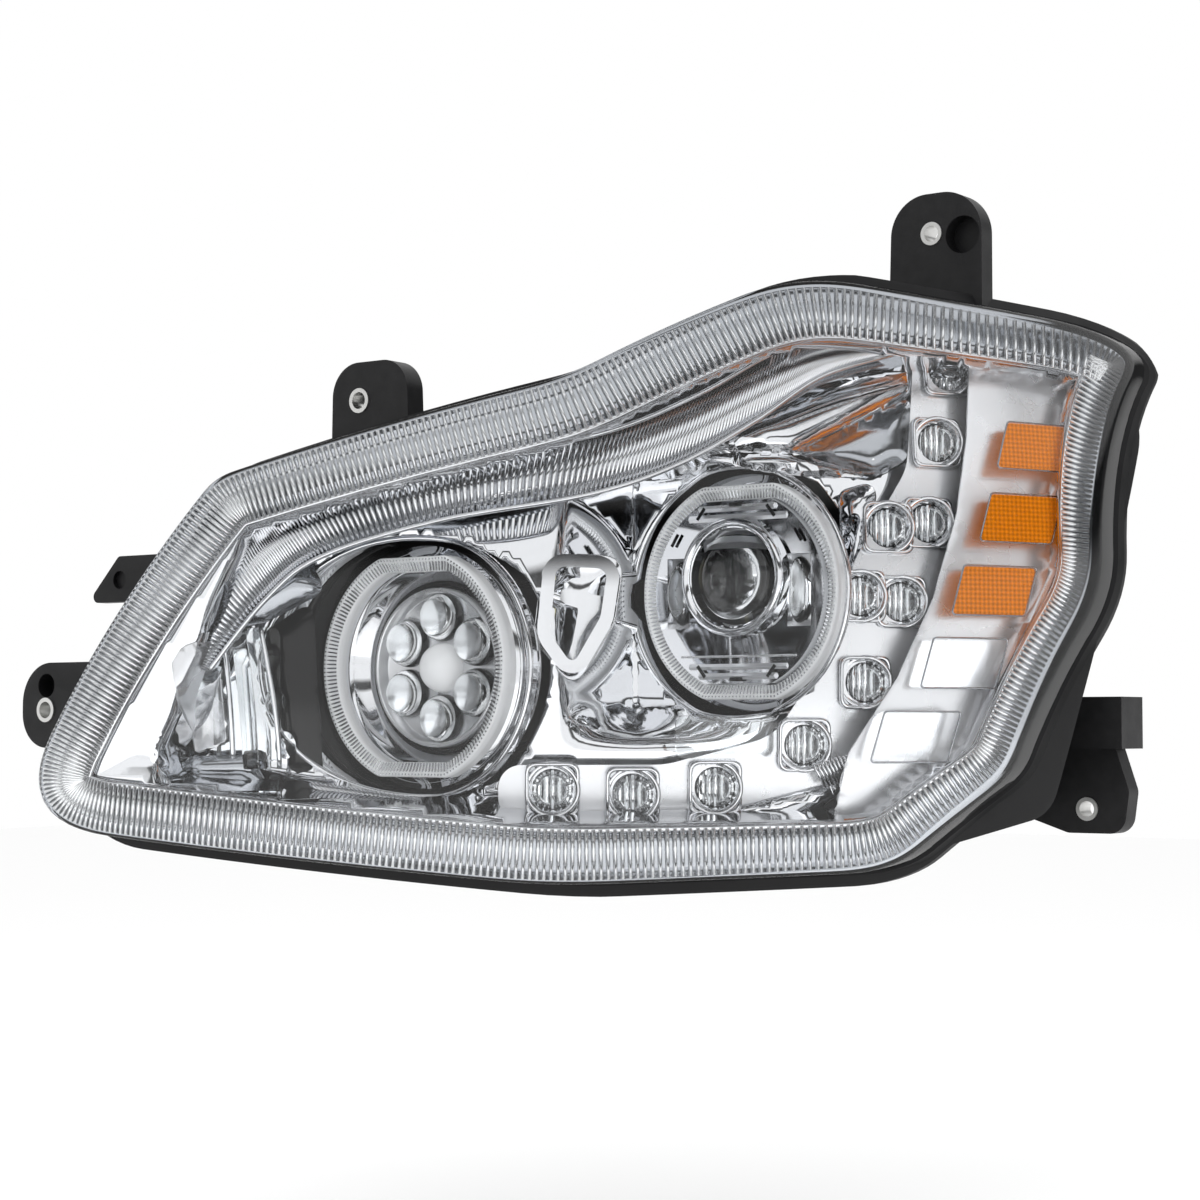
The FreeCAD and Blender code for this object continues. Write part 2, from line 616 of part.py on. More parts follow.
def make_lamp(doc, s, side):
    """One aimed lamp: carrier with pivots and fork arm, light ring, heat sink."""
    centre = lamp_centre(s, side)
    wall = s.module_wall.value
    depth = s.module_depth.value
    pivot = s.pivot_depth.value
    neck = s.neck_radius.value
    carrier = carrier_block(s, side, 0.0, depth).cut(carrier_block(s, side, wall, depth - wall))
    for way in (-1.0, 1.0):
        carrier = carrier.fuse(rod(centre + Vector(0, pivot, 0), s.trunnion_radius.value, neck - 1.0,
                                   s.yoke_radius.value + s.yoke_wall.value + 1.0, Vector(way, 0, 0)))
    drop = s.aim_drop.value
    arm = slab(centre + Vector(10.0, pivot - 9.0, -drop - 7.0), centre + Vector(16.0, pivot + 9.0, -30.0))
    arm = arm.cut(rod(centre, neck - wall, -50.0, 300.0))
    slot = s.screw_radius.value + s.body_gap.value
    arm = arm.cut(slab(centre + Vector(0.0, pivot - slot, -drop - 20.0),
                       centre + Vector(30.0, pivot + slot, -drop + 6.0)))
    feature(doc, s, side + "_barrel", carrier.fuse(arm))
    band = halo_block(s, centre, 0.0).cut(halo_block(s, centre, -s.halo_band.value))
    feature(doc, s, side + "_halo", band)
    make_yoke(doc, s, side)
    sink = rod(centre, 40.0, depth, depth + 6.0)
    for number in range(9):
        across = -32.0 + 8.0 * number
        fin = slab(centre + Vector(across - 1.0, depth + 6.0, -24.0),
                   centre + Vector(across + 1.0, depth + 24.0, 24.0))
        sink = sink.fuse(fin)
    feature(doc, s, side + "_heat_sink", sink)


def carrier_block(s, side, inset, end):
    """A carrier's outside made smaller by inset: wide front, taper and neck."""
    centre = lamp_centre(s, side)
    step = getattr(s, side + "_step").value
    start = s.halo_depth.value
    taper = s.taper_length.value
    wide = s.halo_radius.value - s.carrier_inset.value - inset
    neck = s.neck_radius.value - inset
    block = rod(centre, wide, start - inset, step)
    cone = Part.makeCone(wide, neck, taper, centre + FORWARD_Y * step, FORWARD_Y)
    return block.fuse(cone).fuse(rod(centre, neck, step + taper, end))


def make_yoke(doc, s, side):
    """Fixed tube on the rear wall that holds one lamp's pivots."""
    centre = lamp_centre(s, side)
    pivot = s.pivot_depth.value
    inner = s.yoke_radius.value
    yoke = rod(centre, inner + s.yoke_wall.value, pivot - 8.0, 300.0).cut(rod(centre, inner, 0.0, 320.0))
    yoke = yoke.common(rear_space(s, s.bucket_depth.value - s.bucket_wall.value))
    axle = s.trunnion_radius.value + s.running_gap.value
    yoke = yoke.cut(rod(centre + Vector(0, pivot, 0), axle, -120.0, 120.0, Vector(1, 0, 0)))
    yoke = yoke.cut(slab(centre + Vector(-12.0, 0.0, -110.0), centre + Vector(26.0, pivot + 24.0, -20.0)))
    feature(doc, s, side + "_yoke", yoke)


def halo_block(s, centre, offset):
    """Disc with flat top and bottom, the outline of a light ring."""
    radius = s.halo_radius.value + offset
    flat = s.halo_radius.value - s.flat_inset.value + offset
    disc = rod(centre, radius, 0.0, s.halo_depth.value)
    return disc.common(slab(centre + Vector(-radius, -1.0, -flat), centre + Vector(radius, 30.0, flat)))


def make_low_optics(doc, s):
    """Projector, louvred face and side optics of the low beam."""
    centre = lamp_centre(s, "low")
    edge = -s.halo_band.value - 1.0
    face = halo_block(s, centre, edge)
    glass = s.glass_radius.value
    face = face.cut(rod(centre + Vector(0, 6.0, 0), 200.0, 0.0, 60.0))
    face = face.cut(rod(centre + Vector(0.0, 0.0, s.glass_rise.value), glass + 6.0, -5.0, 60.0))
    for way in (-1.0, 1.0):
        side = centre + Vector(way * 45.0, 0.0, 0.0)
        face = face.cut(slab(side + Vector(-8.5, -5.0, -22.5), side + Vector(8.5, 30.0, 22.5)))
    feature(doc, s, "low_louvre", face)
    zero = Size(0.0, "0.0")
    place = (s.low_x, s.low_y - 14.0, s.low_z + s.glass_rise)
    radius = s.glass_radius
    corners = [
        (zero, zero), (radius * 0.3, zero + 1.0), (radius * 0.55, zero + 3.4), (radius * 0.78, zero + 7.4),
        (radius * 0.93, zero + 12.0), (radius, zero + 17.0), (radius, zero + 26.0), (zero, zero + 26.0),
    ]
    turned(doc, s, "low_lens", corners, place)
    ring = [
        (radius + 0.1, zero + 8.0), (radius + 5.0, zero + 5.0), (radius + 5.5, zero + 6.5),
        (radius + 5.5, zero + 30.0), (radius + 0.1, zero + 30.0),
    ]
    turned(doc, s, "low_lens_ring", ring, place)
    for way, label in ((-1.0, "low_side_optic_left"), (1.0, "low_side_optic_right")):
        middle = centre + Vector(way * 45.0, 0.0, 0.0)
        block = slab(middle + Vector(-8.0, -4.0, -22.0), middle + Vector(8.0, 16.0, 22.0))
        block = block.common(rod(centre, s.halo_radius.value + edge, -10.0, 60.0))
        feature(doc, s, label, block)


def make_high_optics(doc, s):
    """Multi-lens optic of the high beam, sunk in its bowl."""
    zero = Size(0.0, "0.0")
    radius = s.optic_radius
    optic = [(zero, zero), (radius * 0.8, zero), (radius, Size(6.0, "6.0")), (radius, s.optic_length),
             (zero, s.optic_length)]
    turned(doc, s, "high_optic", optic, (s.high_x, s.high_y + s.optic_sunk, s.high_z))
    inner = radius + 0.1
    rim = s.halo_radius - s.carrier_inset - s.module_wall
    front = s.halo_depth + 1.0
    end = s.optic_sunk + s.optic_length
    bowl = [(inner, s.optic_sunk), (inner + 2.0, s.optic_sunk - 1.0), (inner + 2.0, end - 5.0),
            (rim - 2.5, front), (rim, front), (rim, front + 2.0), (inner + 2.0, end - 1.0), (inner, end)]
    turned(doc, s, "high_optic_ring", bowl, (s.high_x, s.high_y, s.high_z))


def make_screws(doc, s, side):
    """Aiming screw and its travelling nut, whose pin sits in the carrier's fork."""
    axis = screw_centre(s, side)
    wall = rear_start(s, axis)
    shank = s.screw_radius.value
    floor = Vector(axis.x, 0.0, axis.z)
    head = wall + 14.0 + s.body_gap.value
    screw = rod(floor, shank, axis.y - 16.0, head)
    turns = [number * math.pi / 3.0 for number in range(7)]
    hexagon = [Vector(9.0 * math.cos(turn), head, 9.0 * math.sin(turn)) for turn in turns]
    face = Part.Face(Part.makePolygon([floor + corner for corner in hexagon]))
    screw = screw.fuse(face.extrude(Vector(0, 12.0, 0)))
    feature(doc, s, side + "_aim_screw", screw)
    nut = slab(axis + Vector(-8.0, -9.0, -8.0), axis + Vector(9.5, 9.0, 8.0))
    nut = nut.fuse(rod(axis, shank, 9.0, 18.0, Vector(1, 0, 0)))
    nut = nut.cut(rod(axis, shank + 0.1, -30.0, 30.0))
    feature(doc, s, side + "_aim_nut", nut)


def make_cap(doc, s, side):
    """Twist-off service cap over its neck, with a grip bar."""
    centre = cap_centre(s, side)
    gap = s.body_gap.value
    neck = s.cap_radius.value + 3.0
    top = s.neck_length.value + gap
    cap = rod(centre, neck + 4.0, 7.0, top + 4.0, AXIAL)
    cap = cap.cut(rod(centre, neck + gap, 0.0, top, AXIAL))
    grip = Part.makeBox(10.0, 16.0, 2.0 * neck - 20.0, Vector(-5.0, top + 3.0, -neck + 10.0))
    grip.rotate(Vector(), UPWARD_Z, math.degrees(VIEW_TURN))
    grip.translate(centre)
    feature(doc, s, side + "_cap", cap.fuse(grip))


# ---------------------------------------------------------------- rear equipment


def make_rear_equipment(doc, s):
    """Driver module, wiring receptacle and vent cap on the rear wall."""
    depth = s.bucket_depth.value

    def turned_box(low, high):
        solid = slab(Vector(*low), Vector(*high))
        solid.rotate(Vector(), UPWARD_Z, math.degrees(VIEW_TURN))
        return solid

    driver = turned_box((255.0, depth, 20.0), (335.0, depth + 24.0, 120.0))
    for number in range(7):
        low = 30.0 + 12.0 * number
        driver = driver.cut(turned_box((250.0, depth + 18.0, low), (340.0, depth + 30.0, low + 6.0)))
    feature(doc, s, "driver_module", driver)
    inlet = turned_box((60.0, depth, 95.0), (110.0, depth + 34.0, 125.0))
    inlet = inlet.cut(turned_box((64.0, depth + 8.0, 99.0), (106.0, depth + 40.0, 121.0)))
    for number in range(4):
        left = 70.0 + 9.0 * number
        pin = turned_box((left, depth + 6.0, 109.0), (left + 1.6, depth + 18.0, 111.0))
        inlet = inlet.fuse(pin)
    feature(doc, s, "wiring_receptacle", inlet)
    zero = Size(0.0, "0.0")
    vent = [(zero, zero), (zero + 9.0, zero), (zero + 9.0, zero + 9.0), (zero, zero + 11.0)]
    body = turned(doc, s, "vent_cap", vent, (None, None, None))
    spot = at(-170.0, -90.0, depth)
    body.Placement = FreeCAD.Placement(Vector(), TILT)
    place_in_frame(body, s, *[Size(value, repr(value)) for value in (spot.x, spot.y, spot.z)])


def check(doc):
    """Stops if any object failed or any sub-part has no valid shape."""
    for item in doc.Objects:
        bad = [state for state in item.State if state in ("Invalid", "Error")]
        if bad:
            raise RuntimeError("%s is %s" % (item.Label, bad))
    for item in sub_parts(doc):
        if item.Shape.isNull() or not item.Shape.isValid():
            raise RuntimeError("%s has no valid shape" % item.Label)
        if len(item.Shape.Solids) != 1:
            print("note: %s has %d solids" % (item.Label, len(item.Shape.Solids)))


def sub_parts(doc):
    """Every object that is a sub-part of the assembly."""
    kinds = ("Part::Feature", "PartDesign::Body")
    return [item for item in doc.Objects if item.TypeId in kinds]


def main():
    """Builds every sub-part and writes one STEP file for each."""
    doc = FreeCAD.newDocument("Headlight")
    s = Sizes(make_sheet(doc))
    make_lens(doc, s)
    make_seal(doc, s)
    make_housing(doc, s)
    make_bezel(doc, s)
    make_trim(doc, s)
    make_prisms(doc, s)
    make_turn_optics(doc, s)
    make_left_tab(doc, s, make_mounts(doc, s))
    for side in ("low", "high"):
        make_lamp(doc, s, side)
        make_screws(doc, s, side)
        make_cap(doc, s, side)
    make_low_optics(doc, s)
    make_high_optics(doc, s)
    make_rear_equipment(doc, s)
    doc.recompute()
    check(doc)
    os.makedirs("parts", exist_ok=True)
    for item in sub_parts(doc):
        item.Shape.exportStep("parts/%s.step" % item.Label)
    print("wrote %d sub-parts" % len(sub_parts(doc)))


main()
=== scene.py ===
"""Studio scene of a wrap-around vehicle headlight with two aimed lamps.

Lengths inside the classes are millimetres from the lamp datum, the middle of the lens's plane;
Space turns them into metres of the part's frame. "Across" and "back" run along and square to
the tilted lens plane, and "up" is +Z.
"""
import logging
import math
from dataclasses import dataclass, field
from enum import Enum
from typing import Callable, Iterable, Sequence

import bmesh
import bpy
from mathutils import Matrix, Vector
from mathutils.geometry import delaunay_2d_cdt


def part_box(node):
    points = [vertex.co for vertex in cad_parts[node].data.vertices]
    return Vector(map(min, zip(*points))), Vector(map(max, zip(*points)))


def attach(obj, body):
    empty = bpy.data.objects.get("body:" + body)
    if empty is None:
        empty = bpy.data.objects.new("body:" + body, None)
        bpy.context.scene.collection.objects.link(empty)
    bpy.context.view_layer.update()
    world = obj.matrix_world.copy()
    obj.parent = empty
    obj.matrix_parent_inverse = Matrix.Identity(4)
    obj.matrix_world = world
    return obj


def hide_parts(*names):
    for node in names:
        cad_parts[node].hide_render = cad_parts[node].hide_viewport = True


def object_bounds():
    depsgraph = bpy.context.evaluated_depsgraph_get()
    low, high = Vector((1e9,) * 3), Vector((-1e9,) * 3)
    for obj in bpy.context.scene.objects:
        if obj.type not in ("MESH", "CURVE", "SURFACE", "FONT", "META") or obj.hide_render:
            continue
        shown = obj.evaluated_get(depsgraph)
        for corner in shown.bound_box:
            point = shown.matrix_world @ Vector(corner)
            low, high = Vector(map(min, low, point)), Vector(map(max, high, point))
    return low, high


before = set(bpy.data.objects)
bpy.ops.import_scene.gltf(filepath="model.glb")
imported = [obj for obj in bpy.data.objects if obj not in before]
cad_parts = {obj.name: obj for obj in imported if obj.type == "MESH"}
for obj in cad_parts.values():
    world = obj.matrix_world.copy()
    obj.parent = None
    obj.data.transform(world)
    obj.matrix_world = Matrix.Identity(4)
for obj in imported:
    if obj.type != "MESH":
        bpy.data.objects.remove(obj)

LOG = logging.getLogger("headlight")
MM = 0.001
VIEW_TURN = math.radians(36.0)
LATERAL = Vector((math.cos(VIEW_TURN), math.sin(VIEW_TURN), 0.0))
AXIAL = Vector((-math.sin(VIEW_TURN), math.cos(VIEW_TURN), 0.0))
UP = Vector((0.0, 0.0, 1.0))
DEPTH_Y = Vector((0.0, 1.0, 0.0))
CAD_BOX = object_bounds()

Profile = Sequence[tuple[float, float]]
Rail = Sequence[tuple[float, float]]


class Body(Enum):
    """The moving bodies that visible pieces ride on."""

    SHELL = "shell"
    LOW = "low_beam"
    HIGH = "high_beam"


class Look(Enum):
    """Every finish in the assembly."""

    BLACK = "moulded_black"
    RUBBER = "seal_rubber"
    CHROME = "bright_chrome"
    SMOKE = "smoked_chrome"
    SATIN = "satin_chrome"
    LENS = "clear_cover"
    GLASS = "solid_clear"
    FROST = "frosted_guide"
    AMBER = "amber_prism"
    WINDOW = "clear_prism"
    STEEL = "zinc_steel"
    ALLOY = "cast_alloy"
    NYLON = "nylon"
    EMITTER = "led_emitter"
    FLUTE = "moulded_flute"
    # Near-black painted shade, put where gaps, recesses and openings lie in shadow.
    PAINTED_SHADE = "painted_shade_black"


# ------------------------------------------------------------------ geometry of the lens drum


@dataclass(frozen=True)
class Drum:
    """The crowned drum that the cover lens and everything behind it follow."""

    radius: float = 750.0
    crown: float = 500.0
    middle: float = -20.0
    apex: float = -100.0

    def reach(self, up: float) -> float:
        """Horizontal radius of the drum at a height."""
        return self.radius - self.crown + math.sqrt(self.crown**2 - (up - self.middle) ** 2)

    def depth(self, across: float, up: float) -> float:
        """Depth of the lens surface behind the datum plane."""
        return self.radius - math.sqrt(max(self.reach(up) ** 2 - (across - self.apex) ** 2, 1.0))

    def front(self, x: float, z: float) -> float:
        """Where the line along Y at (x, z) meets the lens surface."""
        axis = LATERAL * self.apex + AXIAL * self.radius
        return axis.y - math.sqrt(max(self.reach(z) ** 2 - (x - axis.x) ** 2, 1.0))


DRUM = Drum()


@dataclass(frozen=True)
class Space:
    """Turns places measured from the lamp datum into the part's frame, in metres."""

    datum: Vector

    def row(self, x: float, y: float, z: float) -> Vector:
        """A place given along the part's own axes."""
        return self.datum + Vector((x, y, z)) * MM

    def tilt(self, across: float, up: float, behind: float) -> Vector:
        """A place given across and up, at a depth behind the lens surface."""
        back = DRUM.depth(across, up) + behind
        return self.datum + (LATERAL * across + AXIAL * back + UP * up) * MM


@dataclass(frozen=True)
class Lamp:
    """Where one lamp's front ring is."""

    body: Body
    x: float
    y: float
    z: float

    def rim(self, angle: float, radius: float, back: float) -> tuple[float, float, float]:
        """A place on a circle about the lamp's axis, as across, up and depth behind the lens."""
        x = self.x + radius * math.cos(angle)
        y = self.y + back
        z = self.z + radius * math.sin(angle)
        across = x * LATERAL.x + y * LATERAL.y
        return across, z, x * AXIAL.x + y * AXIAL.y - DRUM.depth(across, z)


def read_space() -> Space:
    """Finds the datum from the low lamp's ring, whose place from it is known.

    Returns:
        The space that every class builds in.
    """
    low, high = (Vector(corner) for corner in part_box("low_halo"))
    return Space((low + high) / 2.0 - Vector((LOW.x, LOW.y + 6.0, LOW.z)) * MM)


LOW = Lamp(Body.LOW, 14.0, 128.0, 10.0)
PROJECTOR = Lamp(Body.LOW, 14.0, 128.0, 19.0)
HIGH = Lamp(Body.HIGH, -128.0, -21.0, -38.0)
SPACE = read_space()
LENS_CORNERS = (
    (-325.9, -133.0, 40.0), (-199.9, 74.9, 30.0), (-34.8, 136.8, 90.0), (46.1, 210.9, 50.0),
    (170.0, 190.0, 42.0), (184.2, 11.4, 150.0), (149.9, -106.0, 60.0), (100.0, -164.2, 40.0),
    (-40.2, -169.9, 300.0),
)
# The housing's inner outline, seen along its own axis.
BUCKET_CORNERS = (
    (-288.0, -120.0, 35.0), (-214.0, 62.0, 30.0), (5.0, 120.0, 60.0), (120.0, 194.0, 45.0), (343.0, 177.0, 35.0),
    (365.0, 129.0, 60.0), (309.0, -61.0, 60.0), (289.0, -131.0, 25.0), (171.5, -161.5, 60.0), (-49.0, -159.0, 200.0),
)


def rounded(corners: Sequence[tuple[float, float, float]], step: float) -> list[tuple[float, float, float]]:
    """Samples a closed outline with round corners.

    Args:
        corners: Corner places with their radii.
        step: Distance between samples.

    Returns:
        Places with the number of the corner they are nearest to, as a running share.
    """
    stops: list[tuple[Vector, float]] = []
    count = len(corners)
    for index, (a, b, radius) in enumerate(corners):
        corner = Vector((a, b))
        before = Vector(corners[index - 1][:2]) - corner
        after = Vector(corners[(index + 1) % count][:2]) - corner
        inside = before.angle(after)
        reach = min(radius / math.tan(inside / 2.0), 0.48 * min(before.length, after.length))
        start = corner + before.normalized() * reach
        end = corner + after.normalized() * reach
        for part in range(13):
            t = part / 12.0
            spot = start * (1 - t) ** 2 + corner * 2 * t * (1 - t) + end * t**2
            stops.append((spot, index + 0.2 * (t - 0.5)))
    return resample(stops, step, count)


def resample(stops: list[tuple[Vector, float]], step: float, count: int) -> list[tuple[float, float, float]]:
    """Spaces the samples of a closed outline evenly, blending their corner numbers."""
    result = []
    closed = stops + [(stops[0][0], stops[0][1] + count)]
    total = sum((closed[i + 1][0] - closed[i][0]).length for i in range(len(closed) - 1))
    pieces = max(int(total / step), 8)
    spacing = total / pieces
    travelled = 0.0
    target = 0.0
    for (start, first), (end, last) in zip(closed, closed[1:]):
        length = (end - start).length
        while target <= travelled + length and len(result) < pieces and length > 0:
            t = (target - travelled) / length
            spot = start.lerp(end, t)
            result.append((spot.x, spot.y, first + (last - first) * t))
            target += spacing
        travelled += length
    return result


BUCKET = rounded(BUCKET_CORNERS, 4.0)
# Trim over the housing's rim stays in front of this depth, and this far inside its wall it may be deeper.
FRONT_ROOM = 13.0
WALL_ROOM = 8.0


def even_loop(corners: Sequence[tuple[float, float, float]], count: int) -> list[tuple[float, float]]:
    """A rounded outline as a set number of evenly shared places."""
    fine = rounded(corners, 0.4)
    return [fine[int(step * len(fine) / count)][:2] for step in range(count)]


def smooth_rail(points: Rail, count: int) -> list[Vector]:
    """Samples a smooth open curve through a few points.

    Args:
        points: The places it passes through.
        count: How many samples to return.

    Returns:
        Evenly shared samples along a Catmull-Rom curve.
    """
    knots = [Vector(points[0])] + [Vector(p) for p in points] + [Vector(points[-1])]
    samples = []
    for number in range(count):
        place = number / (count - 1) * (len(points) - 1)
        index = min(int(place), len(points) - 2)
        t = place - index
        a, b, c, d = knots[index:index + 4]
        bend = (b * 2 + (c - a) * t + (a * 2 - b * 5 + c * 4 - d) * t**2 + (b * 3 - a - c * 3 + d) * t**3) * 0.5
        samples.append(bend)
    return samples


# ------------------------------------------------------------------ shared shader effects


def group_tree(name: str, inputs: dict[str, float], outputs: dict[str, str]) -> bpy.types.NodeTree:
    """Starts a shader node group with float inputs and named outputs."""
    tree = bpy.data.node_groups.new(name, "ShaderNodeTree")
    for label, value in inputs.items():
        socket = tree.interface.new_socket(label, in_out="INPUT", socket_type="NodeSocketFloat")
        socket.default_value = value
    for label, kind in outputs.items():
        tree.interface.new_socket(label, in_out="OUTPUT", socket_type=kind)
    tree.nodes.new("NodeGroupInput")
    tree.nodes.new("NodeGroupOutput")
    return tree


class Wiring:
    """Adds nodes to a tree and links them by plain calls."""

    def __init__(self, tree: bpy.types.NodeTree) -> None:
        self.tree = tree

    def add(self, kind: str, inputs: dict[str | int, object] | None = None, **settings: object) -> bpy.types.Node:
        """Makes a node, sets its options and fills or links its inputs."""
        node = self.tree.nodes.new(kind)
        for name, value in settings.items():
            setattr(node, name, value)
        for name, value in (inputs or {}).items():
            if isinstance(value, bpy.types.NodeSocket):
                self.tree.links.new(value, node.inputs[name])
            else:
                node.inputs[name].default_value = value
        return node

    def math(self, operation: str, a: object, b: object = 0.0) -> bpy.types.NodeSocket:
        """One arithmetic step."""
        return self.add("ShaderNodeMath", {0: a, 1: b}, operation=operation).outputs[0]

    def inside(self, name: str) -> bpy.types.NodeSocket:
        """A group's own input."""
        node = next(n for n in self.tree.nodes if n.bl_idname == "NodeGroupInput")
        return node.outputs[name]

    def out(self, name: str, socket: bpy.types.NodeSocket) -> None:
        """Feeds a group's own output."""
        node = next(n for n in self.tree.nodes if n.bl_idname == "NodeGroupOutput")
        self.tree.links.new(socket, node.inputs[name])


def make_grain() -> bpy.types.NodeTree:
    """Moulded grain: a fine height, and a slow stain that varies roughness."""
    tree = group_tree("MouldedGrain", {"Scale": 900.0, "Stain Scale": 25.0, "Low": 0.3, "High": 0.5},
                      {"Height": "NodeSocketFloat", "Roughness": "NodeSocketFloat"})
    wire = Wiring(tree)
    spot = wire.add("ShaderNodeTexCoord").outputs["Object"]
    fine = wire.add("ShaderNodeTexNoise", {"Vector": spot, "Scale": wire.inside("Scale"), "Detail": 3.0})
    slow = wire.add("ShaderNodeTexNoise", {"Vector": spot, "Scale": wire.inside("Stain Scale"), "Detail": 4.0})
    wire.out("Height", fine.outputs[0])
    rough = wire.add("ShaderNodeMapRange", {"Value": slow.outputs[0], "From Min": 0.3, "From Max": 0.7,
                                            "To Min": wire.inside("Low"), "To Max": wire.inside("High")})
    wire.out("Roughness", rough.outputs[0])
    return tree


def make_wear() -> bpy.types.NodeTree:
    """Edge wear: brighter where the surface turns sharply outwards."""
    tree = group_tree("EdgeWear", {"Strength": 0.5}, {"Mask": "NodeSocketFloat"})
    wire = Wiring(tree)
    point = wire.add("ShaderNodeNewGeometry").outputs["Pointiness"]
    spot = wire.add("ShaderNodeTexCoord").outputs["Object"]
    broken = wire.add("ShaderNodeTexNoise", {"Vector": spot, "Scale": 120.0, "Detail": 3.0}).outputs[0]
    edge = wire.add("ShaderNodeMapRange", {"Value": point, "From Min": 0.52, "From Max": 0.62}).outputs[0]
    mask = wire.math("MULTIPLY", wire.math("MULTIPLY", edge, broken), wire.inside("Strength"))
    wire.out("Mask", mask)
    return tree


def make_facets() -> bpy.types.NodeTree:
    """Prism facets: little pyramids across the tilted lens plane, whose height also drives painted shade in their
    hollows.
    """
    tree = group_tree("PrismFacets", {"Pitch": 0.003}, {"Height": "NodeSocketFloat"})
    wire = Wiring(tree)
    spot = wire.add("ShaderNodeTexCoord").outputs["Object"]
    turned = wire.add("ShaderNodeMapping", {"Vector": spot, "Rotation": (0.0, 0.0, -VIEW_TURN)}).outputs[0]
    axes = wire.add("ShaderNodeSeparateXYZ", {0: turned})
    waves = []
    for axis in (axes.outputs[0], axes.outputs[2]):
        share = wire.math("FRACT", wire.math("DIVIDE", axis, wire.inside("Pitch")))
        waves.append(wire.math("ABSOLUTE", wire.math("SUBTRACT", share, 0.5)))
    wire.out("Height", wire.math("ADD", waves[0], waves[1]))
    return tree


@dataclass(frozen=True)
class Finish:
    """A moulded, plated or clear surface with grain, stains and worn edges; some add a painted glow, or painted shade
    in their prism facets.
    """

    colour: tuple[float, float, float]
    low: float
    high: float
    metallic: float = 0.0
    transmission: float = 0.0
    grain: float = 900.0
    bump: float = 0.05
    wear: float = 0.0
    coat: float = 0.0
    emission: float = 0.0
    facets: float = 0.0
    ior: float = 1.5
    specular: float = 0.5
    clear: bool = False


FINISHES: dict[Look, Finish] = {
    Look.BLACK: Finish((0.006, 0.006, 0.0065), 0.34, 0.52, bump=0.14, wear=0.25, specular=0.22),
    Look.RUBBER: Finish((0.005, 0.005, 0.0055), 0.5, 0.7, grain=500.0, bump=0.15, wear=0.1, specular=0.15),
    Look.CHROME: Finish((0.88, 0.89, 0.91), 0.03, 0.08, metallic=1.0, grain=60.0, bump=0.012),
    Look.SMOKE: Finish((0.50, 0.52, 0.55), 0.06, 0.14, metallic=1.0, grain=80.0, bump=0.02),
    Look.SATIN: Finish((0.90, 0.91, 0.93), 0.22, 0.34, metallic=0.75, grain=300.0, bump=0.03),
    Look.LENS: Finish((1.0, 1.0, 1.0), 0.02, 0.05, clear=True, grain=40.0, bump=0.004),
    Look.GLASS: Finish((0.97, 0.985, 0.99), 0.01, 0.03, transmission=1.0, grain=50.0, bump=0.006, ior=1.47),
    # The frosted guides' emission is a painted glow; no lamp lights them.
    Look.FROST: Finish((0.95, 0.96, 0.97), 0.14, 0.24, transmission=0.35, grain=500.0, bump=0.05, ior=1.45,
                       emission=0.1),
    # The amber prisms' emission is a painted glow standing in for light shining through them.
    Look.AMBER: Finish((0.92, 0.27, 0.006), 0.2, 0.3, transmission=0.1, bump=0.8, facets=0.003, specular=0.12,
                       emission=0.2),
    Look.WINDOW: Finish((0.97, 0.98, 0.99), 0.03, 0.07, transmission=0.95, grain=60.0, bump=0.02),
    Look.STEEL: Finish((0.62, 0.62, 0.60), 0.25, 0.42, metallic=1.0, grain=700.0, bump=0.06, wear=0.4),
    Look.ALLOY: Finish((0.42, 0.43, 0.45), 0.38, 0.55, metallic=0.9, grain=600.0, bump=0.15, wear=0.5),
    Look.NYLON: Finish((0.72, 0.71, 0.66), 0.4, 0.55, bump=0.06),
    Look.EMITTER: Finish((0.95, 0.88, 0.55), 0.2, 0.35, grain=1500.0, bump=0.1, emission=0.35),
    Look.FLUTE: Finish((0.95, 0.96, 0.97), 0.08, 0.16, metallic=0.85, grain=120.0, bump=0.02),
    # Painted shade: a near-black, glossy finish that stands for shadow in gaps and recesses.
    Look.PAINTED_SHADE: Finish((0.003, 0.003, 0.0035), 0.1, 0.22, grain=200.0, bump=0.03, specular=0.35),
}


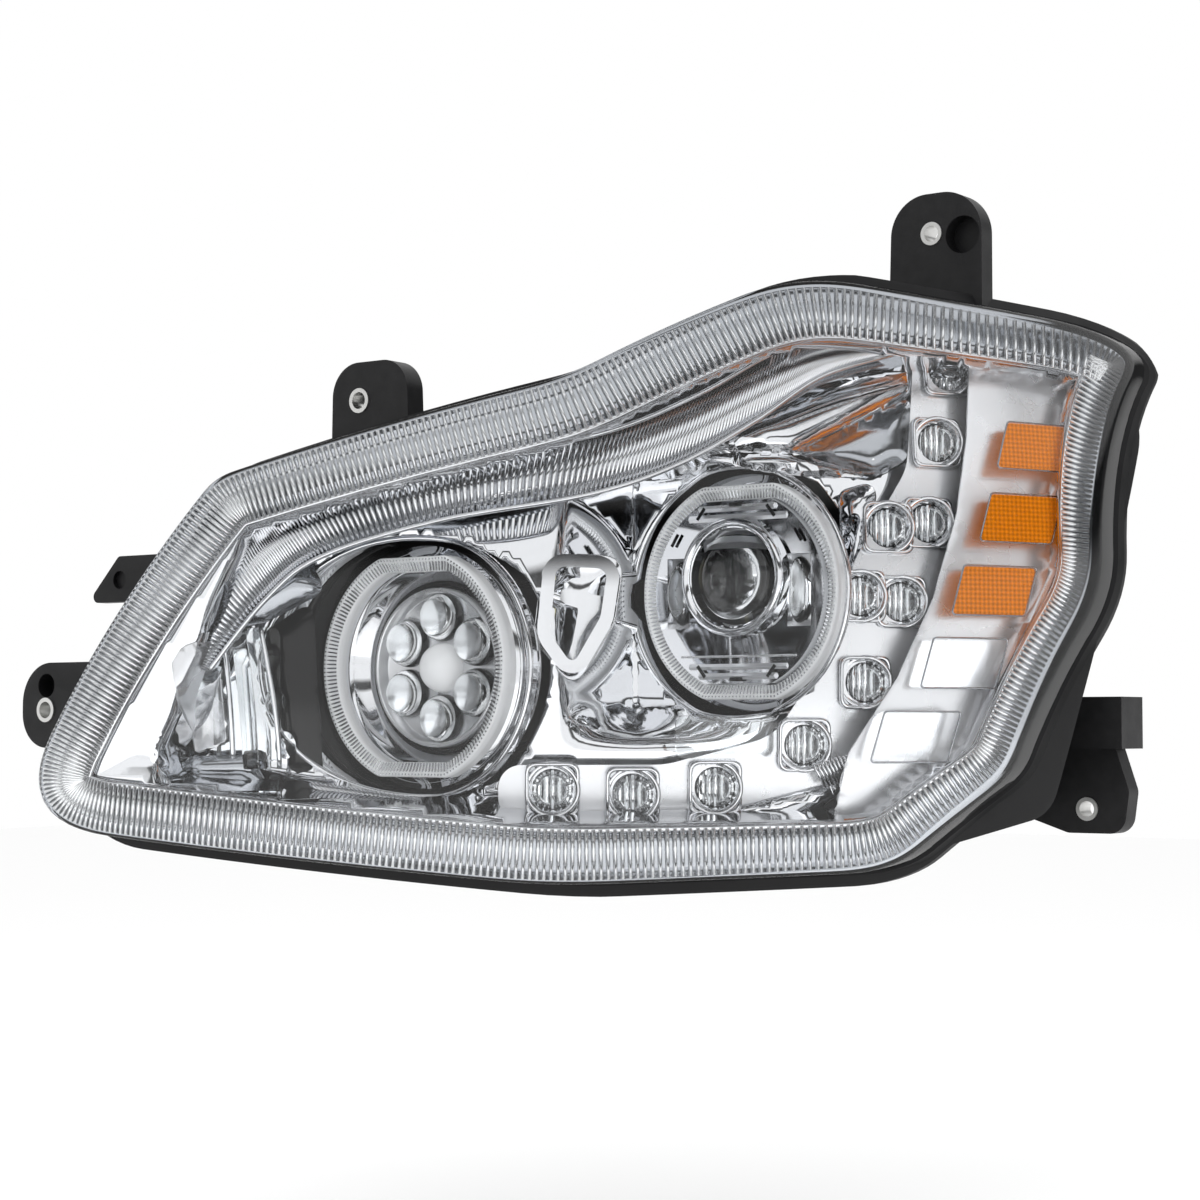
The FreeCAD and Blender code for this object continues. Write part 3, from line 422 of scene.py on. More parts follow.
class Paint:
    """Builds each finish once and hands it out."""

    def __init__(self) -> None:
        self.groups = {"grain": make_grain(), "wear": make_wear(), "facets": make_facets()}
        self.made: dict[Look, bpy.types.Material] = {}

    def get(self, look: Look) -> bpy.types.Material:
        """The material of a finish, made on first use."""
        if look not in self.made:
            self.made[look] = self.make(look, FINISHES[look])
        return self.made[look]

    def make(self, look: Look, finish: Finish) -> bpy.types.Material:
        """Builds a finish's node tree.

        Args:
            look: Which finish it is, for its name.
            finish: Its values.

        Returns:
            The finished material.
        """
        material = bpy.data.materials.new(look.value)
        material.use_nodes = True
        tree = material.node_tree
        tree.nodes.clear()
        wire = Wiring(tree)
        grain = wire.add("ShaderNodeGroup", node_tree=self.groups["grain"])
        grain.inputs["Scale"].default_value = finish.grain
        grain.inputs["Low"].default_value = finish.low
        grain.inputs["High"].default_value = finish.high
        height = grain.outputs["Height"]
        distance = 0.0004
        deep = None
        if finish.facets:
            facets = wire.add("ShaderNodeGroup", node_tree=self.groups["facets"])
            facets.inputs["Pitch"].default_value = finish.facets
            height = facets.outputs["Height"]
            distance = finish.facets
            # Painted shade: the facets' hollows get the colour at three tenths of its brightness, mixed in by facet
            # height.
            shadow = tuple(value * 0.3 for value in finish.colour)
            deep = wire.add("ShaderNodeMix", {0: height, 6: (*shadow, 1.0), 7: (*finish.colour, 1.0)},
                            data_type="RGBA").outputs[2]
        bump = wire.add("ShaderNodeBump", {"Strength": finish.bump, "Distance": distance, "Height": height})
        surface = wire.add("ShaderNodeBsdfPrincipled", {
            "Base Color": (*finish.colour, 1.0), "Metallic": finish.metallic, "IOR": finish.ior,
            "Transmission Weight": finish.transmission, "Coat Weight": finish.coat,
            "Specular IOR Level": finish.specular,
            "Roughness": grain.outputs["Roughness"], "Normal": bump.outputs[0]})
        # The facets' painted shade becomes the base colour.
        if deep:
            tree.links.new(deep, surface.inputs["Base Color"])
        # Emission is the LED chips' own light, and a painted glow on the amber prisms and frosted guides.
        if finish.emission:
            surface.inputs["Emission Color"].default_value = (*finish.colour, 1.0)
            surface.inputs["Emission Strength"].default_value = finish.emission
        if finish.wear:
            self.add_wear(wire, surface, finish)
        shown = surface.outputs[0]
        if finish.clear:
            shown = self.see_through(wire, surface)
        wire.add("ShaderNodeOutputMaterial", {"Surface": shown})
        return material

    def add_wear(self, wire: Wiring, surface: bpy.types.Node, finish: Finish) -> None:
        """Lightens a finish's worn edges."""
        wear = wire.add("ShaderNodeGroup", node_tree=self.groups["wear"])
        wear.inputs["Strength"].default_value = finish.wear
        worn = tuple(min(value * 2.2 + 0.03, 1.0) for value in finish.colour)
        mix = wire.add("ShaderNodeMix", {0: wear.outputs["Mask"], 6: (*finish.colour, 1.0), 7: (*worn, 1.0)},
                       data_type="RGBA")
        wire.tree.links.new(mix.outputs[2], surface.inputs["Base Color"])

    def see_through(self, wire: Wiring, surface: bpy.types.Node) -> bpy.types.NodeSocket:
        """Shows what is behind, with gloss that grows towards glancing angles."""
        gloss = wire.add("ShaderNodeFresnel", {"IOR": 1.45})
        clear = wire.add("ShaderNodeBsdfTransparent", {"Color": (0.985, 0.99, 0.995, 1.0)})
        surface.inputs["Metallic"].default_value = 1.0
        return wire.add("ShaderNodeMixShader", {0: gloss.outputs[0], 1: clear.outputs[0],
                                                2: surface.outputs[0]}).outputs[0]


PAINT = Paint()


# ------------------------------------------------------------------ mesh makers


def add_piece(name: str, points: Iterable[Vector], faces: Iterable[Sequence[int]], look: Look, body: Body,
              smooth: bool = True) -> bpy.types.Object:
    """Makes one mesh piece, dresses it and fixes it to its body.

    Args:
        name: The piece's name.
        points: Its corners, in the part's frame.
        faces: Corner numbers of each face.
        look: Its finish.
        body: The body it rides on.
        smooth: Whether its shading is smooth.

    Returns:
        The new object.
    """
    mesh = bpy.data.meshes.new(name)
    mesh.from_pydata([tuple(point) for point in points], [], [tuple(face) for face in faces])
    solid = bmesh.new()
    solid.from_mesh(mesh)
    bmesh.ops.remove_doubles(solid, verts=solid.verts, dist=1e-6)
    bmesh.ops.recalc_face_normals(solid, faces=solid.faces)
    for face in solid.faces:
        face.smooth = smooth
    solid.to_mesh(mesh)
    solid.free()
    piece = bpy.data.objects.new(name, mesh)
    bpy.context.scene.collection.objects.link(piece)
    mesh.materials.append(PAINT.get(look))
    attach(piece, body.value)
    LOG.info("%s: %d faces", name, len(mesh.polygons))
    return piece


def loft(rings: Sequence[Sequence[Vector]], closed: bool = True,
         wrap: bool = False) -> tuple[list[Vector], list[list[int]]]:
    """Joins rings of equal length into a skin.

    Args:
        rings: The rings in order.
        closed: Whether each ring closes on itself.
        wrap: Whether the last ring joins the first.

    Returns:
        Points and faces.
    """
    size = len(rings[0])
    points = [point for ring in rings for point in ring]
    faces = []
    for level in range(len(rings) - (0 if wrap else 1)):
        below = level * size
        above = ((level + 1) % len(rings)) * size
        for index in range(size - (0 if closed else 1)):
            after = (index + 1) % size
            faces.append([below + index, below + after, above + after, above + index])
    return points, faces


def capped(skin: tuple[list[Vector], list[list[int]]], size: int) -> tuple[list[Vector], list[list[int]]]:
    """A skin whose first and last rings are closed with flat ends."""
    points, faces = skin
    return points, faces + [list(range(size)), list(range(len(points) - size, len(points)))]


def bevel(piece: bpy.types.Object, width: float, angle: float = 25.0) -> None:
    """Softens a piece's sharp edges with a live bevel."""
    modifier = piece.modifiers.new("soft_edges", "BEVEL")
    modifier.width = width * MM
    modifier.segments = 2
    modifier.limit_method = "ANGLE"
    modifier.angle_limit = math.radians(angle)


def thicken(piece: bpy.types.Object, wall: float, offset: float = -1.0) -> None:
    """Gives a sheet its wall."""
    modifier = piece.modifiers.new("wall", "SOLIDIFY")
    modifier.thickness = wall * MM
    modifier.offset = offset


@dataclass(frozen=True)
class Rib:
    """One half-round rib: its middle, its run, the way it faces, and its sizes in metres."""

    middle: Vector
    run: Vector
    face: Vector
    length: float
    width: float
    height: float


def rib_tree(sides: int) -> bpy.types.NodeTree:
    """Geometry Nodes that put a scaled round rod on every point of a mesh.

    Args:
        sides: Flat faces round each rod.

    Returns:
        The node group, with the rods' material as its input.
    """
    tree = bpy.data.node_groups.new("RodRow%d" % sides, "GeometryNodeTree")
    tree.interface.new_socket("Geometry", in_out="INPUT", socket_type="NodeSocketGeometry")
    tree.interface.new_socket("Finish", in_out="INPUT", socket_type="NodeSocketMaterial")
    tree.interface.new_socket("Geometry", in_out="OUTPUT", socket_type="NodeSocketGeometry")
    nodes = tree.nodes
    entry = nodes.new("NodeGroupInput")
    leave = nodes.new("NodeGroupOutput")
    rod = nodes.new("GeometryNodeMeshCylinder")
    rod.inputs["Vertices"].default_value = sides
    rod.inputs["Radius"].default_value = 0.5
    rod.inputs["Depth"].default_value = 1.0
    place = nodes.new("GeometryNodeInstanceOnPoints")
    turn = nodes.new("GeometryNodeInputNamedAttribute")
    turn.data_type = "FLOAT_VECTOR"
    turn.inputs["Name"].default_value = "turn"
    angles = nodes.new("FunctionNodeEulerToRotation")
    stretch = nodes.new("GeometryNodeInputNamedAttribute")
    stretch.data_type = "FLOAT_VECTOR"
    stretch.inputs["Name"].default_value = "stretch"
    real = nodes.new("GeometryNodeRealizeInstances")
    smooth = nodes.new("GeometryNodeSetShadeSmooth")
    dress = nodes.new("GeometryNodeSetMaterial")
    link = tree.links.new
    link(entry.outputs["Geometry"], place.inputs["Points"])
    link(rod.outputs["Mesh"], place.inputs["Instance"])
    link(turn.outputs["Attribute"], angles.inputs[0])
    link(angles.outputs[0], place.inputs["Rotation"])
    link(stretch.outputs["Attribute"], place.inputs["Scale"])
    link(place.outputs["Instances"], real.inputs[0])
    smooth.inputs["Shade Smooth"].default_value = sides > 6
    link(real.outputs[0], smooth.inputs[0])
    link(smooth.outputs[0], dress.inputs["Geometry"])
    link(entry.outputs["Finish"], dress.inputs["Material"])
    link(dress.outputs[0], leave.inputs[0])
    return tree


class RibRows:
    """Makes rows of ribs, fins and bars from one node tree."""

    def __init__(self) -> None:
        self.trees: dict[int, bpy.types.NodeTree] = {}

    def make(self, name: str, ribs: Sequence[Rib], look: Look, body: Body, sides: int = 10) -> bpy.types.Object:
        """Builds one piece out of all its ribs.

        Args:
            name: The piece's name.
            ribs: Where each rib lies.
            look: The finish of all of them.
            body: The body they ride on.
            sides: Flat faces round each rib.

        Returns:
            A plain mesh object.
        """
        tree = self.trees.setdefault(sides, rib_tree(sides))
        seeds = bpy.data.meshes.new(name + "_places")
        seeds.from_pydata([tuple(rib.middle) for rib in ribs], [], [])
        turn = seeds.attributes.new("turn", "FLOAT_VECTOR", "POINT")
        stretch = seeds.attributes.new("stretch", "FLOAT_VECTOR", "POINT")
        for index, rib in enumerate(ribs):
            run = rib.run.normalized()
            side = rib.face.cross(run).normalized()
            turned = Matrix((side, run.cross(side), run)).transposed()
            turn.data[index].vector = tuple(turned.to_euler())
            stretch.data[index].vector = (rib.width, rib.height, rib.length)
        holder = bpy.data.objects.new(name + "_holder", seeds)
        bpy.context.scene.collection.objects.link(holder)
        modifier = holder.modifiers.new("rods", "NODES")
        modifier.node_group = tree
        finish = next(s for s in tree.interface.items_tree if s.name == "Finish")
        modifier[finish.identifier] = PAINT.get(look)
        bpy.context.view_layer.update()
        graph = bpy.context.evaluated_depsgraph_get()
        mesh = bpy.data.meshes.new_from_object(holder.evaluated_get(graph))
        mesh.name = name
        bpy.data.objects.remove(holder)
        piece = bpy.data.objects.new(name, mesh)
        bpy.context.scene.collection.objects.link(piece)
        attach(piece, body.value)
        LOG.info("%s: %d ribs", name, len(ribs))
        return piece


ROWS = RibRows()


def turned_piece(name: str, lamp: Lamp, profile: Profile, look: Look, segments: int = 96,
                 body: Body | None = None) -> bpy.types.Object:
    """A surface turned about a lamp's axis.

    Args:
        name: The piece's name.
        lamp: The lamp whose axis it turns about.
        profile: Radius and distance back from the front ring, in order.
        look: Its finish.
        segments: Steps round the axis.
        body: The body it rides on, by default the lamp's own.

    Returns:
        The new object.
    """
    rings = []
    for radius, back in profile:
        ring = []
        for step in range(segments):
            angle = 2.0 * math.pi * step / segments
            ring.append(SPACE.row(lamp.x + radius * math.cos(angle), lamp.y + back,
                                  lamp.z + radius * math.sin(angle)))
        rings.append(ring)
    points, faces = loft(rings)
    return add_piece(name, points, faces, look, body or lamp.body)


# ------------------------------------------------------------------ the cover lens


@dataclass
class CoverLens:
    """Crowned clear cover with its side wall and the fluted band moulded round its inside."""

    wall: float = 3.0
    skirt: float = 18.0
    step: float = 3.2
    rings: int = 22
    # Distance of the flutes' outer and inner ends from the edge, at each corner of the outline.
    margins: tuple[float, ...] = (2.5, 2.5, 3.0, 4.0, 6.0, 9.0, 7.0, 4.0, 2.5)
    beads: tuple[float, ...] = (32.0, 33.0, 37.0, 38.0, 34.0, 27.0, 27.0, 30.0, 33.0)
    outline: list[tuple[float, float, float]] = field(default_factory=list)

    def build(self) -> None:
        """Builds the face, the side wall, the flutes and the bead line."""
        self.outline = rounded(LENS_CORNERS, self.step)
        self.build_cover()
        self.build_band()

    def build_cover(self) -> None:
        """The face runs from the middle to a soft edge and back along the side wall."""
        middle = (-30.0, 0.0)
        rings = []
        for level in range(1, self.rings + 1):
            share = 1.0 - (1.0 - level / self.rings) ** 1.4
            rings.append([self.face_point(middle, x, z, min(share, 0.992)) for x, z, _ in self.outline])
        for inset, back in ((0.6, 0.4), (0.15, 1.2), (0.0, 2.4), (0.0, 12.0), (0.0, self.skirt)):
            ring = []
            for x, z, _ in self.outline:
                share = 1.0 - inset / math.hypot(x - middle[0], z - middle[1])
                px, pz = middle[0] + (x - middle[0]) * share, middle[1] + (z - middle[1]) * share
                ring.append(SPACE.row(px, DRUM.front(px, pz) + back, pz))
            rings.append(ring)
        points, faces = loft(rings)
        points.append(SPACE.row(middle[0], DRUM.front(*middle), middle[1]))
        size = len(self.outline)
        faces += [[len(points) - 1, (i + 1) % size, i] for i in range(size)]
        cover = add_piece("lens_cover", points, faces, Look.LENS, Body.SHELL)
        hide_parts("lens")

    @staticmethod
    def face_point(middle: tuple[float, float], x: float, z: float, share: float) -> Vector:
        """A point of the face, part of the way from the middle to the edge."""
        px, pz = middle[0] + (x - middle[0]) * share, middle[1] + (z - middle[1]) * share
        return SPACE.row(px, DRUM.front(px, pz), pz)

    def inset_rail(self, amounts: Sequence[float], extra: float = 0.0) -> list[Vector]:
        """The outline moved inwards across the lens plane, by an amount that varies by corner."""
        flat = []
        for x, z, place in self.outline:
            y = DRUM.front(x, z)
            flat.append((Vector((x * LATERAL.x + y * LATERAL.y, z)), place))
        rail = []
        count = len(amounts)
        for index, (spot, place) in enumerate(flat):
            along = flat[(index + 2) % len(flat)][0] - flat[index - 2][0]
            inward = Vector((along.y, -along.x)).normalized()
            low = int(math.floor(place)) % count
            share = place - math.floor(place)
            amount = amounts[low] * (1.0 - share) + amounts[(low + 1) % count] * share + extra
            rail.append(spot + inward * amount)
        for _ in range(6):
            rail = [(rail[i - 1] + rail[i] * 2 + rail[(i + 1) % len(rail)]) / 4.0 for i in range(len(rail))]
        return rail

    def build_band(self) -> None:
        """The flutes, from the outer margin to the bead line."""
        outer = self.inset_rail(self.margins)
        inner = self.inset_rail(self.beads)
        ribs = []
        for start, end in zip(outer, inner):
            a = SPACE.tilt(start.x, start.y, self.wall + 1.0)
            b = SPACE.tilt(end.x, end.y, self.wall + 1.0)
            ribs.append(Rib((a + b) / 2.0, b - a, -AXIAL, (b - a).length, 2.5 * MM, 2.2 * MM))
        self.build_backing(outer, inner)
        band = ROWS.make("lens_flutes", ribs, Look.FLUTE, Body.SHELL, 10)
        bead = tube([SPACE.tilt(p.x, p.y, self.wall + 3.2) for p in inner], 2.2, 12, True)
        edge = add_piece("lens_bead", *bead, Look.CHROME, Body.SHELL)

    def build_backing(self, outer: Sequence[Vector], inner: Sequence[Vector]) -> None:
        """Smoked border of the trim, behind the flutes."""
        rim = self.inset_rail((1.5,))
        levels = ((rim, 0.0, 3.6), (outer, 0.0, 6.0), (outer, 0.3, 6.6), (outer, 0.7, 6.6), (outer, 1.0, 8.0))
        rings = []
        for rail, share, depth in levels:
            places = [a.lerp(b, share) for a, b in zip(rail, inner)]
            rings.append([SPACE.tilt(p.x, p.y, depth) for p in places])
        border = add_piece("bright_border", *loft(rings), Look.SMOKE, Body.SHELL)
        thicken(border, 1.2)


def tube(path: Sequence[Vector], radius: float, sides: int, closed: bool) -> tuple[list[Vector], list[list[int]]]:
    """A round tube along a path, as points and faces.

    Args:
        path: Its middle line, in the part's frame.
        radius: Its radius in millimetres.
        sides: Flat faces round it.
        closed: Whether the path joins its own start.

    Returns:
        Points and faces.
    """
    rings = []
    for index, spot in enumerate(path):
        before = path[index - 1] if closed or index else spot
        after = path[(index + 1) % len(path)] if closed or index < len(path) - 1 else spot
        along = (after - before).normalized()
        side = along.cross(AXIAL).normalized()
        lift = side.cross(along)
        ring = []
        for step in range(sides):
            angle = 2.0 * math.pi * step / sides
            ring.append(spot + (side * math.cos(angle) + lift * math.sin(angle)) * radius * MM)
        rings.append(ring)
    points, faces = loft(rings, wrap=closed)
    if not closed:
        faces += [list(range(sides)), list(range(len(points) - sides, len(points)))]
    return points, faces


# ------------------------------------------------------------------ chrome behind the lens


def sheet(outline: Sequence[Sequence[float]], holes: Sequence[Sequence[Sequence[float]]], step: float,
          depth_at: Callable[[float, float], float]) -> tuple[list[Vector], list[list[int]]]:
    """A curved sheet inside an outline, with holes.

    Args:
        outline: Its closed edge, across and up.
        holes: Closed edges to leave open.
        step: Distance between its inner points.
        depth_at: Depth behind the lens at a place.

    Returns:
        Points and faces.
    """
    flat: list[Vector] = []
    edges: list[tuple[int, int]] = []
    for ring in (outline, *holes):
        first = len(flat)
        flat += [Vector(spot[:2]) for spot in ring]
        edges += [(first + i, first + (i + 1) % len(ring)) for i in range(len(ring))]
    wide = [spot[0] for spot in outline]
    high = [spot[1] for spot in outline]
    for row in range(int((max(high) - min(high)) / step) + 1):
        for column in range(int((max(wide) - min(wide)) / step) + 1):
            spot = (min(wide) + (column + 0.5 * (row % 2)) * step, min(high) + row * step)
            margin = 0.6 * step
            if nearest(outline, spot) > margin and within(outline, spot):
                if not any(nearest(hole, spot) < margin or within(hole, spot) for hole in holes):
                    flat.append(Vector(spot))
    found, _, triangles, _, _, _ = delaunay_2d_cdt(flat, edges, [], 0, 1e-5)
    faces = []
    for face in triangles:
        middle = sum((found[i] for i in face), Vector((0.0, 0.0))) / len(face)
        if within(outline, middle) and not any(within(hole, middle) for hole in holes):
            faces.append(list(face))
    return [SPACE.tilt(p.x, p.y, depth_at(p.x, p.y)) for p in found], faces


def within(ring: Sequence[Sequence[float]], spot: Sequence[float]) -> bool:
    """Whether a spot lies inside a closed flat ring."""
    inside = False
    x, y = spot[0], spot[1]
    for index, corner in enumerate(ring):
        other = ring[index - 1]
        if (corner[1] > y) != (other[1] > y):
            crossing = (other[0] - corner[0]) * (y - corner[1]) / (other[1] - corner[1]) + corner[0]
            inside ^= x < crossing
    return inside


def nearest(ring: Sequence[Sequence[float]], spot: Sequence[float]) -> float:
    """Distance from a spot to the nearest corner of a ring."""
    return math.sqrt(min((corner[0] - spot[0]) ** 2 + (corner[1] - spot[1]) ** 2 for corner in ring))


def room(spot: Sequence[float], slope: float) -> float:
    """How far into the housing a place may reach: nought over its rim, one well inside its wall."""
    if not within(BUCKET, spot):
        return 0.0
    return min(max(nearest(BUCKET, spot) - WALL_ROOM, 0.0) / slope, 1.0)


@dataclass(frozen=True)
class Panel:
    """One moulded area of the trim: outline, depth behind the lens, swell, lean and finish."""

    name: str
    look: Look
    depth: float
    swell: float
    lean: tuple[float, float]
    corners: tuple[tuple[float, float, float], ...]

    def build(self) -> None:
        """Makes the panel as a thin sheet whose middle stands forward or back."""
        outline = rounded(self.corners, 3.0)
        middle = [sum(spot[axis] for spot in outline) / len(outline) for axis in (0, 1)]
        reach = min(nearest(outline, middle), 30.0)

        def depth_at(across: float, up: float) -> float:
            """Depth of the panel at a place."""
            share = min(nearest(outline, (across, up)) / reach, 1.0)
            lift = self.swell * math.sin(share * math.pi / 2.0)
            deep = self.depth - lift + self.lean[0] * (across - middle[0]) + self.lean[1] * (up - middle[1])
            return FRONT_ROOM + (deep - FRONT_ROOM) * room((across, up), 10.0) if deep > FRONT_ROOM else deep

        piece = add_piece(self.name, *sheet(outline, (), 4.0, depth_at), self.look, Body.SHELL)
        thicken(piece, 1.6)
        bevel(piece, 0.6, 40.0)


@dataclass
class Bezel:
    """Smooth main bezel, its moulded panels, the ribbed brow and the wells round the lamps."""

    cover: CoverLens
    hole: float = 79.5
    wall: float = 2.0
    floor: float = 58.0
    ripple: tuple[float, float, float] = (3.5, 34.0, 27.0)
    slope: float = 20.0
    seat: float = 17.0
    narrowing: float = 17.0
    # Distance behind the ring at which an opening starts to narrow, and over which it does.
    narrow_from: float = 42.0
    narrow_over: float = 15.0
    high_reach: float = 24.0
    low_reach: float = 3.0
    # The valley round the lamps: where its two slopes change over, then depth, fall and place of each.
    valley_turn: float = 22.0
    outer_slope: tuple[float, float, float] = (130.0, 0.99, 28.0)
    inner_slope: tuple[float, float, float] = (136.0, 1.6, 22.0)
    # How the valley fades above and below: full share, half height, length of the fade, softness.
    fade: tuple[float, float, float, float] = (1.3, 58.0, 30.0, 8.0)
    # The liner of painted shade in a well: share of the depth where it starts, inset, first and last step.
    shade_liner: tuple[float, float, int, int] = (0.42, 0.9, 21, 54)
    upper: Rail = ((-262.0, -34.0), (-222.0, 32.0), (-186.0, 58.0), (-100.0, 82.0), (0.0, 104.0), (60.0, 130.0),
                   (110.0, 160.0), (158.0, 176.0), (196.0, 172.0))
    lower: Rail = ((-236.0, -40.0), (-202.0, 2.0), (-168.0, 28.0), (-96.0, 50.0), (-8.0, 66.0), (48.0, 86.0),
                   (98.0, 116.0), (140.0, 146.0), (188.0, 164.0))
    panels: tuple[Panel, ...] = (
        Panel("inner_wing", Look.SMOKE, 44.0, 8.0, (0.0, 0.12), (
            (-258.0, -22.0, 4.0), (-222.0, 20.0, 8.0), (-182.0, 34.0, 8.0), (-166.0, 8.0, 10.0),
            (-205.0, -12.0, 8.0))),
        Panel("corner_bright_panel", Look.SATIN, 52.0, -6.0, (0.10, 0.0), (
            (-258.0, -30.0, 3.0), (-234.0, -22.0, 3.0), (-229.0, -84.0, 3.0), (-250.0, -92.0, 3.0))),
        Panel("corner_tip_panel", Look.CHROME, 48.0, -5.0, (0.05, 0.20), (
            (-286.0, -74.0, 6.0), (-268.0, -40.0, 10.0), (-262.0, -102.0, 4.0), (-294.0, -104.0, 6.0))),
        Panel("corner_foot_panel", Look.SMOKE, 50.0, 6.0, (0.0, -0.25), (
            (-256.0, -94.0, 3.0), (-214.0, -92.0, 3.0), (-204.0, -112.0, 4.0), (-252.0, -112.0, 4.0))),
        # A near-black panel of painted shade, standing for the shadow between the high lamp and the inner corner.
        Panel("inner_painted_shade_panel", Look.PAINTED_SHADE, 57.0, 3.0, (0.0, 0.0), (
            (-206.0, -16.0, 6.0), (-176.0, 4.0, 8.0), (-170.0, -104.0, 8.0), (-192.0, -112.0, 6.0))),
        Panel("wing_ridge", Look.CHROME, 44.0, 9.0, (0.02, 0.25), (
            (62.0, 98.0, 4.0), (150.0, 142.0, 20.0), (206.0, 162.0, 4.0), (204.0, 142.0, 8.0), (120.0, 96.0, 20.0))),
        Panel("wing_dark_panel", Look.SMOKE, 52.0, -8.0, (0.05, -0.25), (
            (112.0, 96.0, 6.0), (202.0, 140.0, 6.0), (198.0, 96.0, 10.0), (176.0, 84.0, 8.0))),
        Panel("wing_lash", Look.CHROME, 40.0, 6.0, (0.0, 0.3), (
            (54.0, 92.0, 3.0), (112.0, 98.0, 20.0), (180.0, 80.0, 3.0), (110.0, 84.0, 20.0))),
        Panel("side_dish_panel", Look.CHROME, 52.0, -7.0, (0.10, 0.05), (
            (152.0, 74.0, 8.0), (178.0, 82.0, 8.0), (166.0, 30.0, 12.0), (152.0, 20.0, 8.0))),
        Panel("foot_panel", Look.CHROME, 46.0, 6.0, (0.0, -0.25), (
            (66.0, -128.0, 4.0), (140.0, -112.0, 10.0), (176.0, -100.0, 4.0), (120.0, -136.0, 10.0),
            (70.0, -146.0, 4.0))),
        Panel("teardrop_cup", Look.CHROME, 66.0, -9.0, (0.0, 0.2), (
            (-42.0, -20.0, 20.0), (-36.0, 34.0, 14.0), (16.0, 32.0, 14.0), (10.0, -10.0, 20.0),
            (-16.0, -54.0, 12.0))),
        Panel("side_field", Look.SATIN, 30.0, 2.0, (0.0, 0.0), (
            (241.0, 170.0, 8.0), (318.0, 158.0, 20.0), (322.0, 90.0, 40.0), (296.0, -20.0, 60.0),
            (250.0, -92.0, 40.0), (196.0, -138.0, 20.0), (142.0, -148.0, 8.0), (153.0, -92.0, 20.0),
            (185.0, -44.0, 40.0), (209.0, 6.0, 60.0), (226.0, 60.0, 60.0), (235.0, 110.0, 60.0))),
    )

    def build(self) -> None:
        """Builds the bezel's sheet, its panels, its brow and the lamp wells."""
        self.build_sheet()
        for panel in self.panels:
            panel.build()
        self.build_brow()
        self.build_ribs()

    def floor_at(self, across: float, up: float) -> float:
        """Depth of the bezel away from its edge."""
        height, wide, high = self.ripple
        base = self.floor + height * math.sin(across / wide) * math.cos(up / high)
        if across > self.valley_turn:
            deep, fall, place = self.outer_slope
            valley = deep - fall * (across - place)
        else:
            deep, fall, place = self.inner_slope
            valley = deep - fall * (place - across)
        full, half, length, soft = self.fade
        share = min(max(full - max(abs(up - LOW.z) - half, 0.0) / length, 0.0), 1.0)
        drop = max(valley - base, 0.0)
        return base + share * share * (3.0 - 2.0 * share) * drop * drop / (drop + soft)

    def lamp_edge(self, lamp: Lamp) -> list[tuple[float, float, float]]:
        """Where a lamp's round opening meets the bezel, as across, up and depth along the lamp's axis."""
        edge = []
        for step in range(72):
            angle = 2.0 * math.pi * step / 72
            back = 0.0
            for _ in range(24):
                behind = min(max((back - self.narrow_from) / self.narrow_over, 0.0), 1.0)
                across, up, depth = lamp.rim(angle, self.hole - self.narrowing * behind, back)
                back = max(back + 0.6 * (self.floor_at(across, up) - depth), -90.0)
            edge.append((across, up, back))
        return edge

    def build_sheet(self) -> None:
        """The sheet between the flutes and the two lamp openings, and a well down to each lamp."""
        border = self.cover.inset_rail(self.cover.beads)
        edges = [self.lamp_edge(lamp) for lamp in (LOW, HIGH)]

        def depth_at(across: float, up: float) -> float:
            """Depth of the bezel at a place, rising to the flutes along its edge."""
            share = min(nearest(border, (across, up)) / self.slope, room((across, up), self.slope))
            start = min(8.0 + 0.3 * nearest(border, (across, up)), FRONT_ROOM)
            return start + (self.floor_at(across, up) - start) * math.sin(share * math.pi / 2.0)

        piece = add_piece("bezel_sheet", *sheet(border, edges, 4.6, depth_at), Look.CHROME, Body.SHELL)
        thicken(piece, self.wall)
        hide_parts("main_bezel")
        for lamp, edge, look in zip((LOW, HIGH), edges, (Look.CHROME, Look.PAINTED_SHADE)):
            self.build_well(lamp, edge, look)

    def build_well(self, lamp: Lamp, edge: Sequence[tuple[float, float, float]], look: Look) -> None:
        """The round wall from the bezel down to a lamp's ring, a near-black liner of painted shade in the high lamp's
        well, and the bright lip round its mouth.
        """
        well = self.well_wall(lamp, edge, 0.0, 0.0, 0, len(edge))
        skin = add_piece(lamp.body.value + "_well", *loft(well), Look.CHROME, Body.SHELL)
        thicken(skin, 1.0, 1.0)
        # A near-black liner of painted shade, standing for the shadow inside the well.
        if look is Look.PAINTED_SHADE:
            shade_liner = self.well_wall(lamp, edge, *self.shade_liner)
            dark = add_piece(lamp.body.value + "_well_shade_liner", *loft(shade_liner, False), look, Body.SHELL)
            thicken(dark, 0.4, 1.0)
        lip = add_piece(lamp.body.value + "_well_lip", *tube(well[0], 1.8, 8, True), Look.CHROME, Body.SHELL)

    def well_wall(self, lamp: Lamp, edge: Sequence[tuple[float, float, float]], start: float, inset: float,
                  first: int, last: int) -> list[list[Vector]]:
        """Rings of a well's wall.

        Args:
            lamp: The lamp in the well.
            edge: The bezel's opening round that lamp.
            start: Share of the wall's depth at which it starts.
            inset: How far it stands inside the opening.
            first: First step round the lamp.
            last: Step after the last one.

        Returns:
            The rings, from the mouth inwards.
        """
        rings = []
        for level in range(5):
            ring = []
            for step in range(first, last):
                angle = 2.0 * math.pi * step / len(edge)
                reach = self.low_reach if lamp is LOW and math.cos(angle) > 0.3 else self.high_reach
                reach = min(max(edge[step][2], self.seat + 1.0), reach)
                front = min(edge[step][2], self.seat, reach - 2.0)
                back = front + (reach - front) * (start + (1.0 - start) * level / 4.0)
                radius = self.hole - inset
                ring.append(SPACE.row(lamp.x + radius * math.cos(angle), lamp.y + back,
                                      lamp.z + radius * math.sin(angle)))
            rings.append(ring)
        return rings

